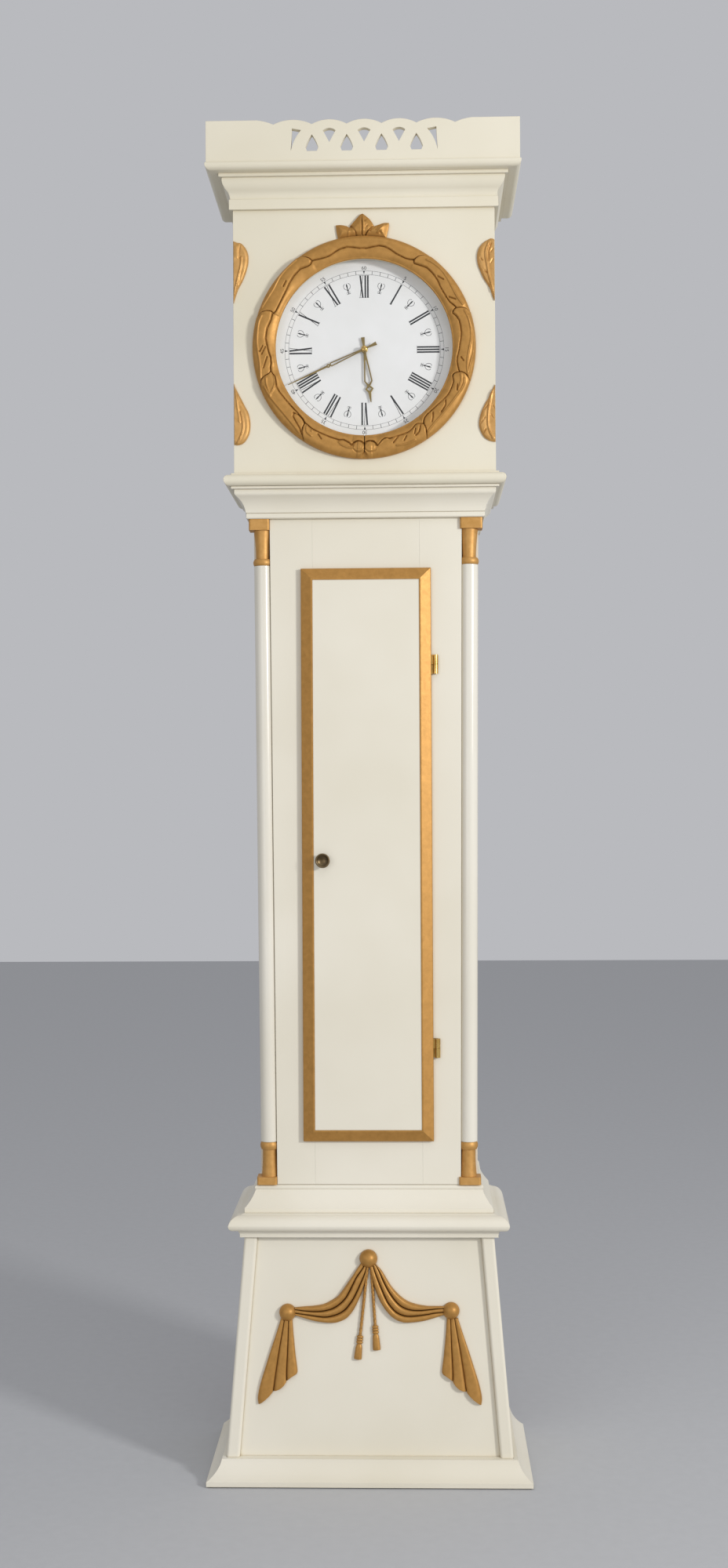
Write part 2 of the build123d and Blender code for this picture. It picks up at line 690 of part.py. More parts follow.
def frieze_outline():
    notches = [fret_shift - outer_notch_x] + [fret_shift + step * fret_pitch for step in scallop_steps]
    notches += [fret_shift + outer_notch_x]
    low = height - scallop_drop
    Line((-frieze_w, crown_top), (frieze_w, crown_top))
    Line((frieze_w, crown_top), (frieze_w, height))
    Line((frieze_w, height), (fret_shift + shoulder_x, height))
    ThreePointArc((fret_shift + shoulder_x, height), (fret_shift + 142, height - 2.2), (notches[-1], low))
    for right, left in zip(reversed(notches[1:]), reversed(notches[:-1])):
        ThreePointArc((right, low), ((right + left) / 2, height), (left, low))
    ThreePointArc((notches[0], low), (fret_shift - 142, height - 2.2), (fret_shift - shoulder_x, height))
    Line((fret_shift - shoulder_x, height), (-frieze_w, height))
    Line((-frieze_w, height), (-frieze_w, crown_top))


def lancet():
    """The pointed piercing inside an arch: its top is a point, its flat sill is narrower."""
    sill, spring, point = 1905.0, 1910.3, 1928.5
    Line((-7.0, sill), (7.0, sill))
    Line((7.0, sill), (9.1, spring))
    ThreePointArc((9.1, spring), (5.4, 1919.8), (0, point))
    ThreePointArc((0, point), (-5.4, 1919.8), (-9.1, spring))
    Line((-9.1, spring), (-7.0, sill))


def spandrel():
    """The hanging piercing between two arches: a curved top edge over a point."""
    shoulder, point = 1934.0, 1917.5
    ThreePointArc((-9.0, shoulder), (0, shoulder + 3.5), (9.0, shoulder))
    ThreePointArc((9.0, shoulder), (4.6, 1926.0), (0, point))
    ThreePointArc((0, point), (-4.6, 1926.0), (-9.0, shoulder))


def half_lancet():
    """The piercing at either end of the fretwork: wide at the top, with a point at its outer foot."""
    foot, outer, inner = (-7.3, 1905.2), (-5.5, 1937.5), (7.2, 1935.0)
    Line(foot, outer)
    Line(outer, inner)
    ThreePointArc(inner, (-2.0, 1921.0), foot)


def piercing(outline, x, flip=False):
    plane = Plane(origin=(fret_shift + x, frieze_face - 1, 0), x_dir=(-1 if flip else 1, 0, 0),
                  z_dir=(0, 1 if flip else -1, 0))
    with BuildPart() as cutter:
        with BuildSketch(plane):
            with BuildLine():
                outline()
            make_face()
        extrude(amount=3 * frieze_thick, both=True)
    return cutter


with BuildPart() as frieze_front:
    with BuildSketch(Plane.XZ.offset(-frieze_face)):
        with BuildLine():
            frieze_outline()
        make_face()
    extrude(amount=-frieze_thick)
    for step in scallop_steps:
        add(piercing(lancet, step * fret_pitch).part, mode=Mode.SUBTRACT)
    for step in (-1, 0, 1):
        add(piercing(spandrel, step * fret_pitch).part, mode=Mode.SUBTRACT)
    add(piercing(half_lancet, -97.6).part, mode=Mode.SUBTRACT)
    add(piercing(half_lancet, 97.6, flip=True).part, mode=Mode.SUBTRACT)
save(frieze_front, "frieze_front")

return_right = box_board(frieze_w - frieze_thick, frieze_w, frieze_face + frieze_thick, back_y,
                         crown_top, height)
save_group("frieze_returns", return_right, mirrored(return_right))

# Bezel: a turned wooden ring with a rebate behind for the glass
glass_thick, glass_r = 3.0, ring_in_r + 3.2


def ring_outline():
    crest, cove = ring_depth, 8.4
    Line((opening_r, 0), (ring_out_r, 0))
    Line((ring_out_r, 0), (ring_out_r, 4.0))
    ThreePointArc((ring_out_r, 4.0), (157.0, 11.6), (149.0, crest))
    ThreePointArc((149.0, crest), (142.5, 13.0), (138.6, 9.2))
    ThreePointArc((138.6, 9.2), (134.0, 12.2), (ring_in_r + 0.6, cove))
    Line((ring_in_r + 0.6, cove), (ring_in_r, cove - 1))
    Line((ring_in_r, cove - 1), (ring_in_r, glass_thick + 2))
    Polyline((ring_in_r, glass_thick + 2), (glass_r + 0.2, glass_thick + 2), (glass_r + 0.2, 0), (opening_r, 0))


bezel_ring = turned((0, hood_face, dial_z), (0, -1, 0), ring_outline)
save(bezel_ring, "bezel_ring")
glass = rod((0, hood_face - 1.6, dial_z), (0, -1, 0), glass_r, glass_thick)
save(glass, "glass")


def crest_outline():
    """Three-leaf palmette standing on the top of the ring; the right leaf laps the middle one."""
    left_foot, left_tip, left_valley = (-36.6, 1784.0), (-40.0, 1808.1), (-20.7, 1804.9)
    top = (-1.4, 1824.3)
    right_valley, right_tip, right_foot = (15.5, 1804.9), (37.0, 1809.5), (32.8, 1784.0)
    Spline(left_foot, (-37.4, 1790.6), (-39.0, 1798.9), left_tip)
    Spline(left_tip, (-32.7, 1808.4), (-26.1, 1807.1), left_valley)
    Spline(left_valley, (-14.4, 1811.9), (-9.4, 1817.7), (-5.2, 1822.2), top)
    Spline(top, (3.1, 1820.9), (8.9, 1815.8), (13.0, 1809.9), right_valley)
    Spline(right_valley, (22.2, 1807.2), (29.7, 1809.6), right_tip)
    Spline(right_tip, (36.3, 1802.9), (34.6, 1796.2), (33.3, 1789.6), right_foot)
    Line(right_foot, left_foot)


with BuildPart() as bezel_crest:
    with BuildSketch(Plane.XZ.offset(-hood_face)):
        with BuildLine():
            crest_outline()
        make_face()
    extrude(amount=10)
    add(rod((0, hood_face, dial_z), (0, -1, 0), ring_out_r + 0.1, ring_depth + 2).part, mode=Mode.SUBTRACT)
save(bezel_crest, "bezel_crest")


def corner_leaf(side, outline):
    """Half a leaf against the hood's edge: its outline as distances in from that edge and heights."""
    curve = [(side * (hood_w - inward), z) for inward, z in outline]
    with BuildPart() as leaf:
        with BuildSketch(Plane.XZ.offset(-hood_face)):
            with BuildLine():
                Spline(*curve)
                Line(curve[-1], curve[0])
            make_face()
        extrude(amount=6)
    return leaf


# Each leaf was cut by hand, so no two have the same outline
leaf_upper_left = corner_leaf(-1, [
    (0.6, 1787.2), (6.1, 1785.0), (10.5, 1784.3), (14.0, 1782.1), (17.6, 1777.7), (20.4, 1772.6),
    (22.1, 1766.7), (22.4, 1760.9), (21.8, 1753.6), (19.9, 1745.7), (16.8, 1736.3), (12.9, 1727.6),
    (8.5, 1719.7), (5.5, 1712.5), (2.2, 1702.6), (0.6, 1697.0)])
leaf_lower_left = corner_leaf(-1, [
    (0.6, 1580.5), (1.9, 1575.5), (5.3, 1569.2), (8.3, 1563.0), (12.7, 1554.7), (16.8, 1546.4),
    (20.9, 1538.7), (23.1, 1530.4), (24.0, 1521.5), (23.5, 1512.5), (21.5, 1504.9), (17.7, 1498.1),
    (12.9, 1493.3), (7.3, 1491.3), (3.9, 1491.2), (0.6, 1492.4)])
leaf_upper_right = corner_leaf(1, [
    (0.6, 1784.6), (3.0, 1785.8), (5.9, 1786.2), (11.1, 1783.7), (17.2, 1779.6), (22.2, 1773.6),
    (24.8, 1766.9), (25.6, 1758.6), (24.3, 1748.8), (20.7, 1739.0), (16.4, 1729.1), (11.2, 1720.8),
    (7.2, 1714.0), (4.6, 1706.4), (2.5, 1700.1), (0.6, 1696.6)])
leaf_lower_right = corner_leaf(1, [
    (0.6, 1575.0), (3.2, 1570.4), (5.1, 1567.0), (7.9, 1562.3), (10.6, 1554.7), (13.4, 1550.7),
    (17.0, 1543.8), (20.4, 1536.3), (22.9, 1527.4), (24.1, 1519.2), (23.1, 1511.6), (20.0, 1504.0),
    (16.1, 1498.5), (9.9, 1494.3), (5.8, 1492.9), (0.6, 1492.1)])
save_group("corner_leaves", leaf_upper_right, leaf_upper_left, leaf_lower_right, leaf_lower_left)

# ---------------------------------------------------------------- movement frame and dial

plate_thick = 2.5
front_plate_y, back_plate_y = -42.0, 18.0          # front faces of the two plates
plate_w, plate_z0, plate_z1 = 65.0, seat_top, 1736.0
arbor_r, pivot_gap = 1.5, 0.06

# Wheel train: teeth and modules; the great wheel turns once in eight hours
leaves = 10
great_teeth, great_module = 80, 1.15
centre_teeth, centre_module = 75, 0.95
third_teeth, third_module = 80, 0.85
escape_teeth, escape_r = 30, 18.0


def centre_distance(module, wheel, pinion):
    return module * (wheel + pinion) / 2


great_at = (0.0, dial_z - centre_distance(great_module, great_teeth, leaves))
third_lean = radians(60)
third_run = centre_distance(centre_module, centre_teeth, leaves)
third_at = (third_run * cos(third_lean), dial_z + third_run * sin(third_lean))
escape_run = centre_distance(third_module, third_teeth, leaves)
escape_at = (0.0, third_at[1] + sqrt(escape_run ** 2 - third_at[0] ** 2))
anchor_z = escape_at[1] + escape_r * sqrt(2) + 1.0

# Motion work between the plate and the dial: twelve turns of the minute hand to one of the hour hand
cannon_teeth, minute_teeth, motion_module = 12, 36, 1.0
minute_leaves, hour_teeth = 10, 40
motion_run = centre_distance(motion_module, minute_teeth, cannon_teeth)
hour_module = 2 * motion_run / (minute_leaves + hour_teeth)
motion_at = (motion_run * cos(radians(45)), dial_z - motion_run * sin(radians(45)))
motion_stud_r = 2.0
cannon_r, hour_pipe_r = 2.4, 3.6
dial_hole_r = 4.4
pillar_x, pillar_r = 56.0, 4.0
pillar_heights = (plate_z0 + 12, plate_z1 - 12)
dial_foot_r, dial_foot_x, dial_foot_z = 3.0, 50.0, 60.0


def plate(y):
    """One brass plate with the pivot holes of every arbor."""
    holes = [(0, dial_z), great_at, third_at, escape_at, (0, anchor_z)]
    with BuildPart() as piece:
        add(box_board(-plate_w, plate_w, y, y + plate_thick, plate_z0, plate_z1).part)
        with BuildSketch(Plane.XZ.offset(-y - plate_thick - 1)):
            with Locations(*holes):
                Circle(arbor_r + pivot_gap)
        extrude(amount=plate_thick + 2, mode=Mode.SUBTRACT)
    return piece


pillars = [
    rod((side * pillar_x, front_plate_y + plate_thick, z), (0, 1, 0), pillar_r,
        back_plate_y - front_plate_y - plate_thick)
    for side in (-1, 1) for z in pillar_heights
]
dial_back = dial_face + dial_thick
dial_feet = [
    rod((side * dial_foot_x, dial_back, dial_z + up * dial_foot_z), (0, 1, 0), dial_foot_r,
        front_plate_y - dial_back)
    for side in (-1, 1) for up in (-1, 1)
]
motion_stud = rod((motion_at[0], -58.5, motion_at[1]), (0, 1, 0), motion_stud_r, front_plate_y + 58.5)
save_group("movement_frame", plate(front_plate_y), plate(back_plate_y), *pillars, *dial_feet, motion_stud)

dial = rod((0, dial_face, dial_z), (0, 1, 0), dial_r, dial_thick, bore=dial_hole_r)
save(dial, "dial")

# ---------------------------------------------------------------- wheels


def toothed(teeth, module, at, y0, y1, spin=0.0, fill=0.40, tip=0.85, root=1.2):
    """A wheel or pinion blank with straight-sided teeth, between y0 and y1; spin in pitches."""
    pitch = 2 * pi / teeth
    tip_r, root_r = module * (teeth / 2 + tip), module * (teeth / 2 - root)
    outline = []
    for k in range(teeth):
        middle = (k + spin) * pitch
        for angle, radius in ((-0.33, root_r), (-0.13, tip_r), (0.13, tip_r), (0.33, root_r)):
            a = middle + angle * pitch * fill / 0.46
            outline.append((at[0] + radius * sin(a), at[1] + radius * cos(a)))
    with BuildPart() as wheel:
        with BuildSketch(Plane.XZ.offset(-y1)):
            with BuildLine():
                Polyline(*outline, close=True)
            make_face()
        extrude(amount=y1 - y0)
    return wheel


def mesh_spin(teeth, towards, gap=False):
    """Spin, in pitches, that puts a tooth (or a gap) of this wheel on the line towards an angle."""
    return (towards / (2 * pi / teeth)) % 1.0 + (0.5 if gap else 0.0)


def crossings(at, y0, y1, inner_r, outer_r, count=4):
    """Openings between the spokes of a wheel."""
    with BuildPart() as cutter:
        with BuildSketch(Plane.XZ.offset(-y1 - 1)):
            with Locations(at):
                Circle(outer_r)
                Circle(inner_r, mode=Mode.SUBTRACT)
                for k in range(count):
                    Rectangle(4.2, 2 * outer_r + 2, rotation=180 * k / count, mode=Mode.SUBTRACT)
        extrude(amount=y1 - y0 + 2)
    return cutter


def arbor(at, y0, y1, radius=arbor_r):
    return rod((at[0], y0, at[1]), (0, 1, 0), radius, y1 - y0)


def wheel_on_arbor(at, wheel, pinion, arbor_span, spokes=None):
    """Joins a wheel, an optional pinion and their arbor into one piece."""
    with BuildPart() as piece:
        add(wheel.part)
        if spokes:
            add(spokes.part, mode=Mode.SUBTRACT)
        if pinion:
            add(pinion.part)
        add(arbor(at, *arbor_span).part)
    return piece


def direction_angle(start, end):
    """Angle from straight up, turning towards +X, of the line from start to end."""
    return atan2(end[0] - start[0], end[1] - start[1])


centre_at = (0.0, dial_z)
plate_inner = (front_plate_y + plate_thick + 1.0, back_plate_y - 1.0)
arbor_span = (front_plate_y, back_plate_y + plate_thick)
great_y, centre_y, third_y, escape_y = (-14.0, -11.5), (-24.0, -22.0), (6.0, 8.0), (12.0, 13.8)

sprocket_r = chain_x - 2.2


def sprocket_outline():
    Line((0, 0), (sprocket_r + 4, 0))
    Line((sprocket_r + 4, 0), (sprocket_r + 4, 1.4))
    ThreePointArc((sprocket_r + 4, 1.4), (sprocket_r, 4.5), (sprocket_r + 4, 7.6))
    Polyline((sprocket_r + 4, 7.6), (sprocket_r + 4, 9), (0, 9), (0, 0))


great_to_centre = direction_angle(great_at, centre_at)
great_blank = toothed(great_teeth, great_module, great_at, *great_y, spin=mesh_spin(great_teeth, great_to_centre))
with BuildPart() as great_wheel:
    add(wheel_on_arbor(great_at, great_blank, None, arbor_span,
                       crossings(great_at, *great_y, 30, 41)).part)
    add(turned((great_at[0], -4.5, great_at[1]), (0, 1, 0), sprocket_outline).part)
    add(arbor(great_at, great_y[1], -4.5, 6).part)
save(great_wheel, "great_wheel")

centre_pinion = toothed(leaves, great_module, centre_at, great_y[0] - 2, great_y[1] + 2,
                        spin=mesh_spin(leaves, great_to_centre + pi, gap=True))
centre_to_third = direction_angle(centre_at, third_at)
centre_blank = toothed(centre_teeth, centre_module, centre_at, *centre_y,
                       spin=mesh_spin(centre_teeth, centre_to_third))
centre_wheel = wheel_on_arbor(centre_at, centre_blank, centre_pinion, (-77.0, arbor_span[1]),
                              crossings(centre_at, *centre_y, 10, 29))
save(centre_wheel, "centre_wheel")

third_pinion = toothed(leaves, centre_module, third_at, centre_y[0] - 2, centre_y[1] + 2,
                       spin=mesh_spin(leaves, centre_to_third + pi, gap=True))
third_to_escape = direction_angle(third_at, escape_at)
third_blank = toothed(third_teeth, third_module, third_at, *third_y, spin=mesh_spin(third_teeth, third_to_escape))
third_wheel = wheel_on_arbor(third_at, third_blank, third_pinion, arbor_span,
                             crossings(third_at, *third_y, 9, 27))
save(third_wheel, "third_wheel")

escape_pinion = toothed(leaves, third_module, escape_at, third_y[0] - 2, third_y[1] + 2,
                        spin=mesh_spin(leaves, third_to_escape + pi, gap=True))


def escape_blank():
    """Long pointed teeth that lean back."""
    outline = []
    pitch = 2 * pi / escape_teeth
    for k in range(escape_teeth):
        for angle, radius in ((0.0, escape_r - 4.5), (0.32, escape_r), (0.46, escape_r), (0.62, escape_r - 4.5)):
            a = (k + angle) * pitch
            outline.append((escape_at[0] + radius * sin(a), escape_at[1] + radius * cos(a)))
    with BuildPart() as wheel:
        with BuildSketch(Plane.XZ.offset(-escape_y[1])):
            with BuildLine():
                Polyline(*outline, close=True)
            make_face()
        extrude(amount=escape_y[1] - escape_y[0])
    return wheel


escape_wheel = wheel_on_arbor(escape_at, escape_blank(), escape_pinion, arbor_span)
save(escape_wheel, "escape_wheel")

# Anchor with its crutch, which reaches back round the pendulum rod
crutch_y, crutch_drop = 26.0, 80.0
rod_r, fork_gap = 2.4, 0.4


def anchor_outline():
    """Arms that straddle the escape wheel, their pallets just clear of the tooth tips."""
    inner, outer = escape_r + 1.75, escape_r + 5.0
    sweep = radians(52)
    z = escape_at[1]
    Polyline((inner * sin(sweep), z + inner * cos(sweep)), (outer * sin(sweep), z + outer * cos(sweep)))
    ThreePointArc((outer * sin(sweep), z + outer * cos(sweep)), (10.0, anchor_z + 2.0), (0, anchor_z + 5.0))
    ThreePointArc((0, anchor_z + 5.0), (-10.0, anchor_z + 2.0), (-outer * sin(sweep), z + outer * cos(sweep)))
    Line((-outer * sin(sweep), z + outer * cos(sweep)), (-inner * sin(sweep), z + inner * cos(sweep)))
    ThreePointArc((-inner * sin(sweep), z + inner * cos(sweep)), (0, anchor_z - 4.0),
                  (inner * sin(sweep), z + inner * cos(sweep)))


with BuildPart() as anchor:
    with BuildSketch(Plane.XZ.offset(-escape_y[1])):
        with BuildLine():
            anchor_outline()
        make_face()
    extrude(amount=escape_y[1] - escape_y[0])
    add(arbor((0, anchor_z), front_plate_y, crutch_y + 2).part)
    add(box_board(-2.2, 2.2, crutch_y, crutch_y + 2, anchor_z - crutch_drop, anchor_z + 3).part)
    for side in (-1, 1):
        inner = side * (rod_r + fork_gap)
        add(box_board(min(inner, inner + side * 1.8), max(inner, inner + side * 1.8), crutch_y + 2,
                      pendulum_y + 4, anchor_z - crutch_drop, anchor_z - crutch_drop + 4).part)
    add(box_board(-rod_r - fork_gap - 1.8, rod_r + fork_gap + 1.8, crutch_y, crutch_y + 2,
                  anchor_z - crutch_drop, anchor_z - crutch_drop + 4).part)
save(anchor, "anchor")

# Suspension: a cock on the back plate holds the leaf spring that the pendulum hangs by
cock_top = anchor_z + 12
back_plate_rear = back_plate_y + plate_thick
with BuildPart() as cock:
    add(box_board(-9, 9, back_plate_rear, pendulum_y + 6, anchor_z + 4, cock_top).part)
    add(box_board(-9, 9, back_plate_rear, back_plate_rear + 3, anchor_z - 8, anchor_z + 4).part)
    add(box_board(-3, 3, back_plate_rear - 1, back_plate_rear + 4, anchor_z - 9, anchor_z + 3).part,
        mode=Mode.SUBTRACT)
    add(box_board(-0.15, 0.15, pendulum_y - 4, pendulum_y + 4, anchor_z + 4, cock_top - 3).part,
        mode=Mode.SUBTRACT)
spring = box_board(-0.15, 0.15, pendulum_y - 4, pendulum_y + 4, anchor_z - 7, cock_top - 3)
save_group("suspension_cock", cock, spring)

# Pendulum: beats seconds, so the bob's middle hangs just under a metre below the suspension
bob_z, bob_r, bob_thick = anchor_z - 994.0, 52.0, 26.0
rod_end = bob_z - bob_r - 26
with BuildPart() as pendulum_rod:
    add(rod((0, pendulum_y, rod_end), (0, 0, 1), rod_r, anchor_z - 14 - rod_end).part)
    add(box_board(-3.4, 3.4, pendulum_y - 5, pendulum_y + 5, anchor_z - 15, anchor_z - 2).part)
    add(box_board(-1.2, 1.2, pendulum_y - 6, pendulum_y + 6, anchor_z - 9, anchor_z - 1).part,
        mode=Mode.SUBTRACT)
save(pendulum_rod, "pendulum_rod")


def bob_outline():
    ThreePointArc((0, -bob_thick / 2), (bob_r * 0.62, -bob_thick * 0.34), (bob_r, -1.5))
    Line((bob_r, -1.5), (bob_r, 1.5))
    ThreePointArc((bob_r, 1.5), (bob_r * 0.62, bob_thick * 0.34), (0, bob_thick / 2))
    Line((0, bob_thick / 2), (0, -bob_thick / 2))


with BuildPart() as pendulum_bob:
    add(turned((0, pendulum_y, bob_z), (0, -1, 0), bob_outline).part)
    add(rod((0, pendulum_y, bob_z - bob_r - 5), (0, 0, 1), rod_r + 0.02, 2 * bob_r + 10).part,
        mode=Mode.SUBTRACT)
save(pendulum_bob, "pendulum_bob")

nut_h = 7.0
with BuildPart() as rating_nut:
    with BuildSketch(Plane.XY.offset(bob_z - bob_r - nut_h - 0.4)):
        with Locations((0, pendulum_y)):
            RegularPolygon(radius=8.0, side_count=12)
            Circle(rod_r + pivot_gap, mode=Mode.SUBTRACT)
    extrude(amount=nut_h)
save(rating_nut, "rating_nut")

# Driving weight on its chain, and the free end of the chain with its pull ring
weight_r, weight_len, weight_z0 = 25.0, 180.0, 560.0
hook_top = weight_z0 + weight_len + 22


def weight_outline():
    top = weight_len
    Line((0, 0), (weight_r - 5, 0))
    ThreePointArc((weight_r - 5, 0), (weight_r - 1.4, 1.4), (weight_r, 5))
    Line((weight_r, 5), (weight_r, top - 8))
    ThreePointArc((weight_r, top - 8), (weight_r - 3, top - 3), (weight_r - 8, top))
    Polyline((weight_r - 8, top), (5, top), (5, top + 4), (2.0, top + 6), (2.0, top + 22), (0, top + 22), (0, 0))


weight = turned((-chain_x, chain_y, weight_z0), (0, 0, 1), weight_outline)
save(weight, "weight")
chain_r = 2.0
weight_chain = rod((-chain_x, chain_y, hook_top), (0, 0, 1), chain_r, great_at[1] - hook_top)
save(weight_chain, "weight_chain")
ring_top = 1438.0
free_chain = rod((chain_x, chain_y, ring_top), (0, 0, 1), chain_r, great_at[1] - ring_top)
save(free_chain, "free_chain")
with BuildPart() as pull_ring:
    with Locations(Location((chain_x, chain_y, ring_top - 17), (90, 0, 0))):
        Torus(14, 2.6)
save(pull_ring, "pull_ring")

# ---------------------------------------------------------------- motion work and hands

cannon_y, hour_y = (-50.0, -46.5), (-57.0, -55.0)
hour_hand_y, minute_hand_y = (-68.2, -67.0), (-72.6, -71.4)
stud_to_centre = direction_angle(motion_at, centre_at)
cannon_blank = toothed(cannon_teeth, motion_module, centre_at, *cannon_y,
                       spin=mesh_spin(cannon_teeth, stud_to_centre + pi))
with BuildPart() as cannon_pinion:
    add(cannon_blank.part)
    add(arbor(centre_at, minute_hand_y[0] - 1.5, cannon_y[1], cannon_r).part)
    add(arbor(centre_at, -90, 0, arbor_r + pivot_gap).part, mode=Mode.SUBTRACT)
save(cannon_pinion, "cannon_pinion")

minute_blank = toothed(minute_teeth, motion_module, motion_at, *cannon_y,
                       spin=mesh_spin(minute_teeth, stud_to_centre, gap=True))
minute_pinion = toothed(minute_leaves, hour_module, motion_at, hour_y[0] - 1, cannon_y[0],
                        spin=mesh_spin(minute_leaves, stud_to_centre, gap=True))
with BuildPart() as minute_wheel:
    add(minute_blank.part)
    add(minute_pinion.part)
    add(arbor(motion_at, -70, -40, motion_stud_r + pivot_gap).part, mode=Mode.SUBTRACT)
save(minute_wheel, "minute_wheel")

hour_blank = toothed(hour_teeth, hour_module, centre_at, *hour_y,
                     spin=mesh_spin(hour_teeth, stud_to_centre + pi))
with BuildPart() as hour_wheel:
    add(hour_blank.part)
    add(arbor(centre_at, hour_hand_y[0] - 0.6, hour_y[1], hour_pipe_r).part)
    add(arbor(centre_at, -90, 0, cannon_r + pivot_gap).part, mode=Mode.SUBTRACT)
save(hour_wheel, "hour_wheel")

hour_angle, minute_angle = radians(173.0), radians(245.3)

# Half of each hand from its tail to its tip, as (distance from the centre, half width)
hour_half = [(-18.0, 2.6), (-7.0, 1.4), (0, 1.8), (9.0, 2.0), (46.3, 6.0), (53.0, 1.9), (57.6, 6.0),
             (62.6, 2.0), (76.6, 0.6)]
minute_half = [(-19.2, 2.5), (-7.0, 1.2), (0, 1.6), (8.0, 1.6), (53.0, 2.9), (55.0, 1.3), (60.2, 1.2),
               (85.0, 1.1), (121.8, 0.3)]
hour_loop = [(14.0, 0), (17.0, 1.0), (46.0, 4.4), (51.6, 0)]
minute_loop = [(13.0, 0), (16.0, 0.4), (52.5, 1.7), (53.9, 0)]
hour_diamond = [(54.3, 0), (57.6, 3.6), (61.0, 0)]
eye_at, eye_r, eye_hole_r = 57.6, 2.6, 1.2


def hand(angle, y_span, hub_r, bore_r, half, loops, eye=False):
    """A pierced hand: two thin strips spread into a long kite, over a diamond or a round eye and a tip."""
    def at(along, across):
        return (along * sin(angle) + across * cos(angle), dial_z + along * cos(angle) - across * sin(angle))

    def both_sides(points):
        return [at(s, t) for s, t in points] + [at(s, -t) for s, t in reversed(points) if t > 0]
    with BuildPart() as piece:
        with BuildSketch(Plane.XZ.offset(-y_span[1])):
            with BuildLine():
                Polyline(*both_sides(half), close=True)
            make_face()
            with Locations(centre_at):
                Circle(hub_r)
            if eye:
                with Locations(at(eye_at, 0)):
                    Circle(eye_r)
                    Circle(eye_hole_r, mode=Mode.SUBTRACT)
            for loop in loops:
                with BuildLine():
                    Polyline(*both_sides(loop), close=True)
                make_face(mode=Mode.SUBTRACT)
        extrude(amount=y_span[1] - y_span[0])
        add(arbor(centre_at, -90, 0, bore_r + 0.05).part, mode=Mode.SUBTRACT)
    return piece


hour_hand = hand(hour_angle, hour_hand_y, 5.0, hour_pipe_r, hour_half, [hour_loop, hour_diamond])
save(hour_hand, "hour_hand")
minute_hand = hand(minute_angle, minute_hand_y, 4.4, cannon_r, minute_half, [minute_loop], eye=True)


def nut_outline():
    Line((arbor_r + 0.3, 0), (4.4, 0))
    ThreePointArc((4.4, 0), (3.5, 1.8), (arbor_r + 0.3, 2.4))
    Line((arbor_r + 0.3, 2.4), (arbor_r + 0.3, 0))


hand_nut = turned((0, minute_hand_y[0] - 1.5, dial_z), (0, -1, 0), nut_outline)
save_group("minute_hand", minute_hand, hand_nut)
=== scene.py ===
# %% [markdown]
# # A painted longcase clock
#
# This lesson dresses a finished CAD model of a tall clock. The case is pine under semi-matt cream paint, and
# its carved ornament is brushed with gold bronze paint. The CAD model already holds every board, moulding,
# wheel and hinge at its real size, so Blender adds what CAD is poor at: carving, print, chain links and
# finishes. The frame is loaded first.

# %% Load the frame
import bpy
import json
from math import atan2, cos, hypot, pi, radians, sin, sqrt
import numpy as np
from mathutils import Matrix, Vector
from mathutils.geometry import delaunay_2d_cdt


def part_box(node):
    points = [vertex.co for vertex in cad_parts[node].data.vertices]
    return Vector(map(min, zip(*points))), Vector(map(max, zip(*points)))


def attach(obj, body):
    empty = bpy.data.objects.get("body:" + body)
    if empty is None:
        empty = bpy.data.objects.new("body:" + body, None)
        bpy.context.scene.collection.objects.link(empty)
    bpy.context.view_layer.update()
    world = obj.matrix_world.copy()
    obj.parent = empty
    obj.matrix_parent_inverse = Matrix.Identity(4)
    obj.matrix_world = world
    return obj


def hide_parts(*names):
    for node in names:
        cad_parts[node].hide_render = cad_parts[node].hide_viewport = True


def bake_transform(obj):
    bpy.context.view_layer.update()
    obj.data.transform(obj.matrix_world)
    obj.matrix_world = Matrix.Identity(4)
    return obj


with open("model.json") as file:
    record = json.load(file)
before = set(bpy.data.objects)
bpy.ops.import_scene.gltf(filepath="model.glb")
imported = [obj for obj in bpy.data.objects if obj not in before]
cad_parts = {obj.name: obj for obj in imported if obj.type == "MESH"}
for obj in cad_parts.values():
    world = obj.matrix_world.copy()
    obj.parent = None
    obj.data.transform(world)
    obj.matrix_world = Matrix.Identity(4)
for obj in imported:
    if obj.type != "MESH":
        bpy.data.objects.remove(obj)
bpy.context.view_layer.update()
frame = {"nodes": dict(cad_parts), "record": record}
MM = 0.001

# %% [markdown]
# ## Helpers for materials
#
# Colours are written as the hex values that a painter would match on a screen, and one function turns
# them into the linear numbers that shaders use. Every material is a small tree of nodes, and one
# function adds a node: its settings are properties, and each input takes a value, a colour or whatever
# feeds it. Two effects come back in every finish: a second colour blended over the first where a mask
# is high, and a shader with a little relief.

# %% Colour and node helpers
def linear(hex_colour):
    """Linear RGBA from an sRGB hex string."""
    parts = [int(hex_colour[i:i + 2], 16) / 255 for i in (1, 3, 5)]
    return [c / 12.92 if c <= 0.04045 else ((c + 0.055) / 1.055) ** 2.4 for c in parts] + [1.0]


def add(tree, kind, inputs=None, **settings):
    """Adds one node. An input takes a value, a hex colour, a socket or a node, whose first output it is."""
    node = tree.nodes.new(kind)
    for name, value in settings.items():
        setattr(node, name, value)
    for socket, source in (inputs or {}).items():
        if isinstance(source, bpy.types.Node):
            source = source.outputs[0]
        if isinstance(source, bpy.types.NodeSocket):
            tree.links.new(source, node.inputs[socket])
        else:
            node.inputs[socket].default_value = linear(source) if isinstance(source, str) else source
    return node


print("cream in linear light:", [round(c, 3) for c in linear("#e6e1d3")])


# %% Material helpers
def new_material(name):
    """A material, its empty tree and the surface position in metres."""
    material = bpy.data.materials.new(name)
    material.use_nodes = True
    tree = material.node_tree
    tree.nodes.clear()
    print("material:", name)
    return material, tree, add(tree, "ShaderNodeTexCoord").outputs["Object"]


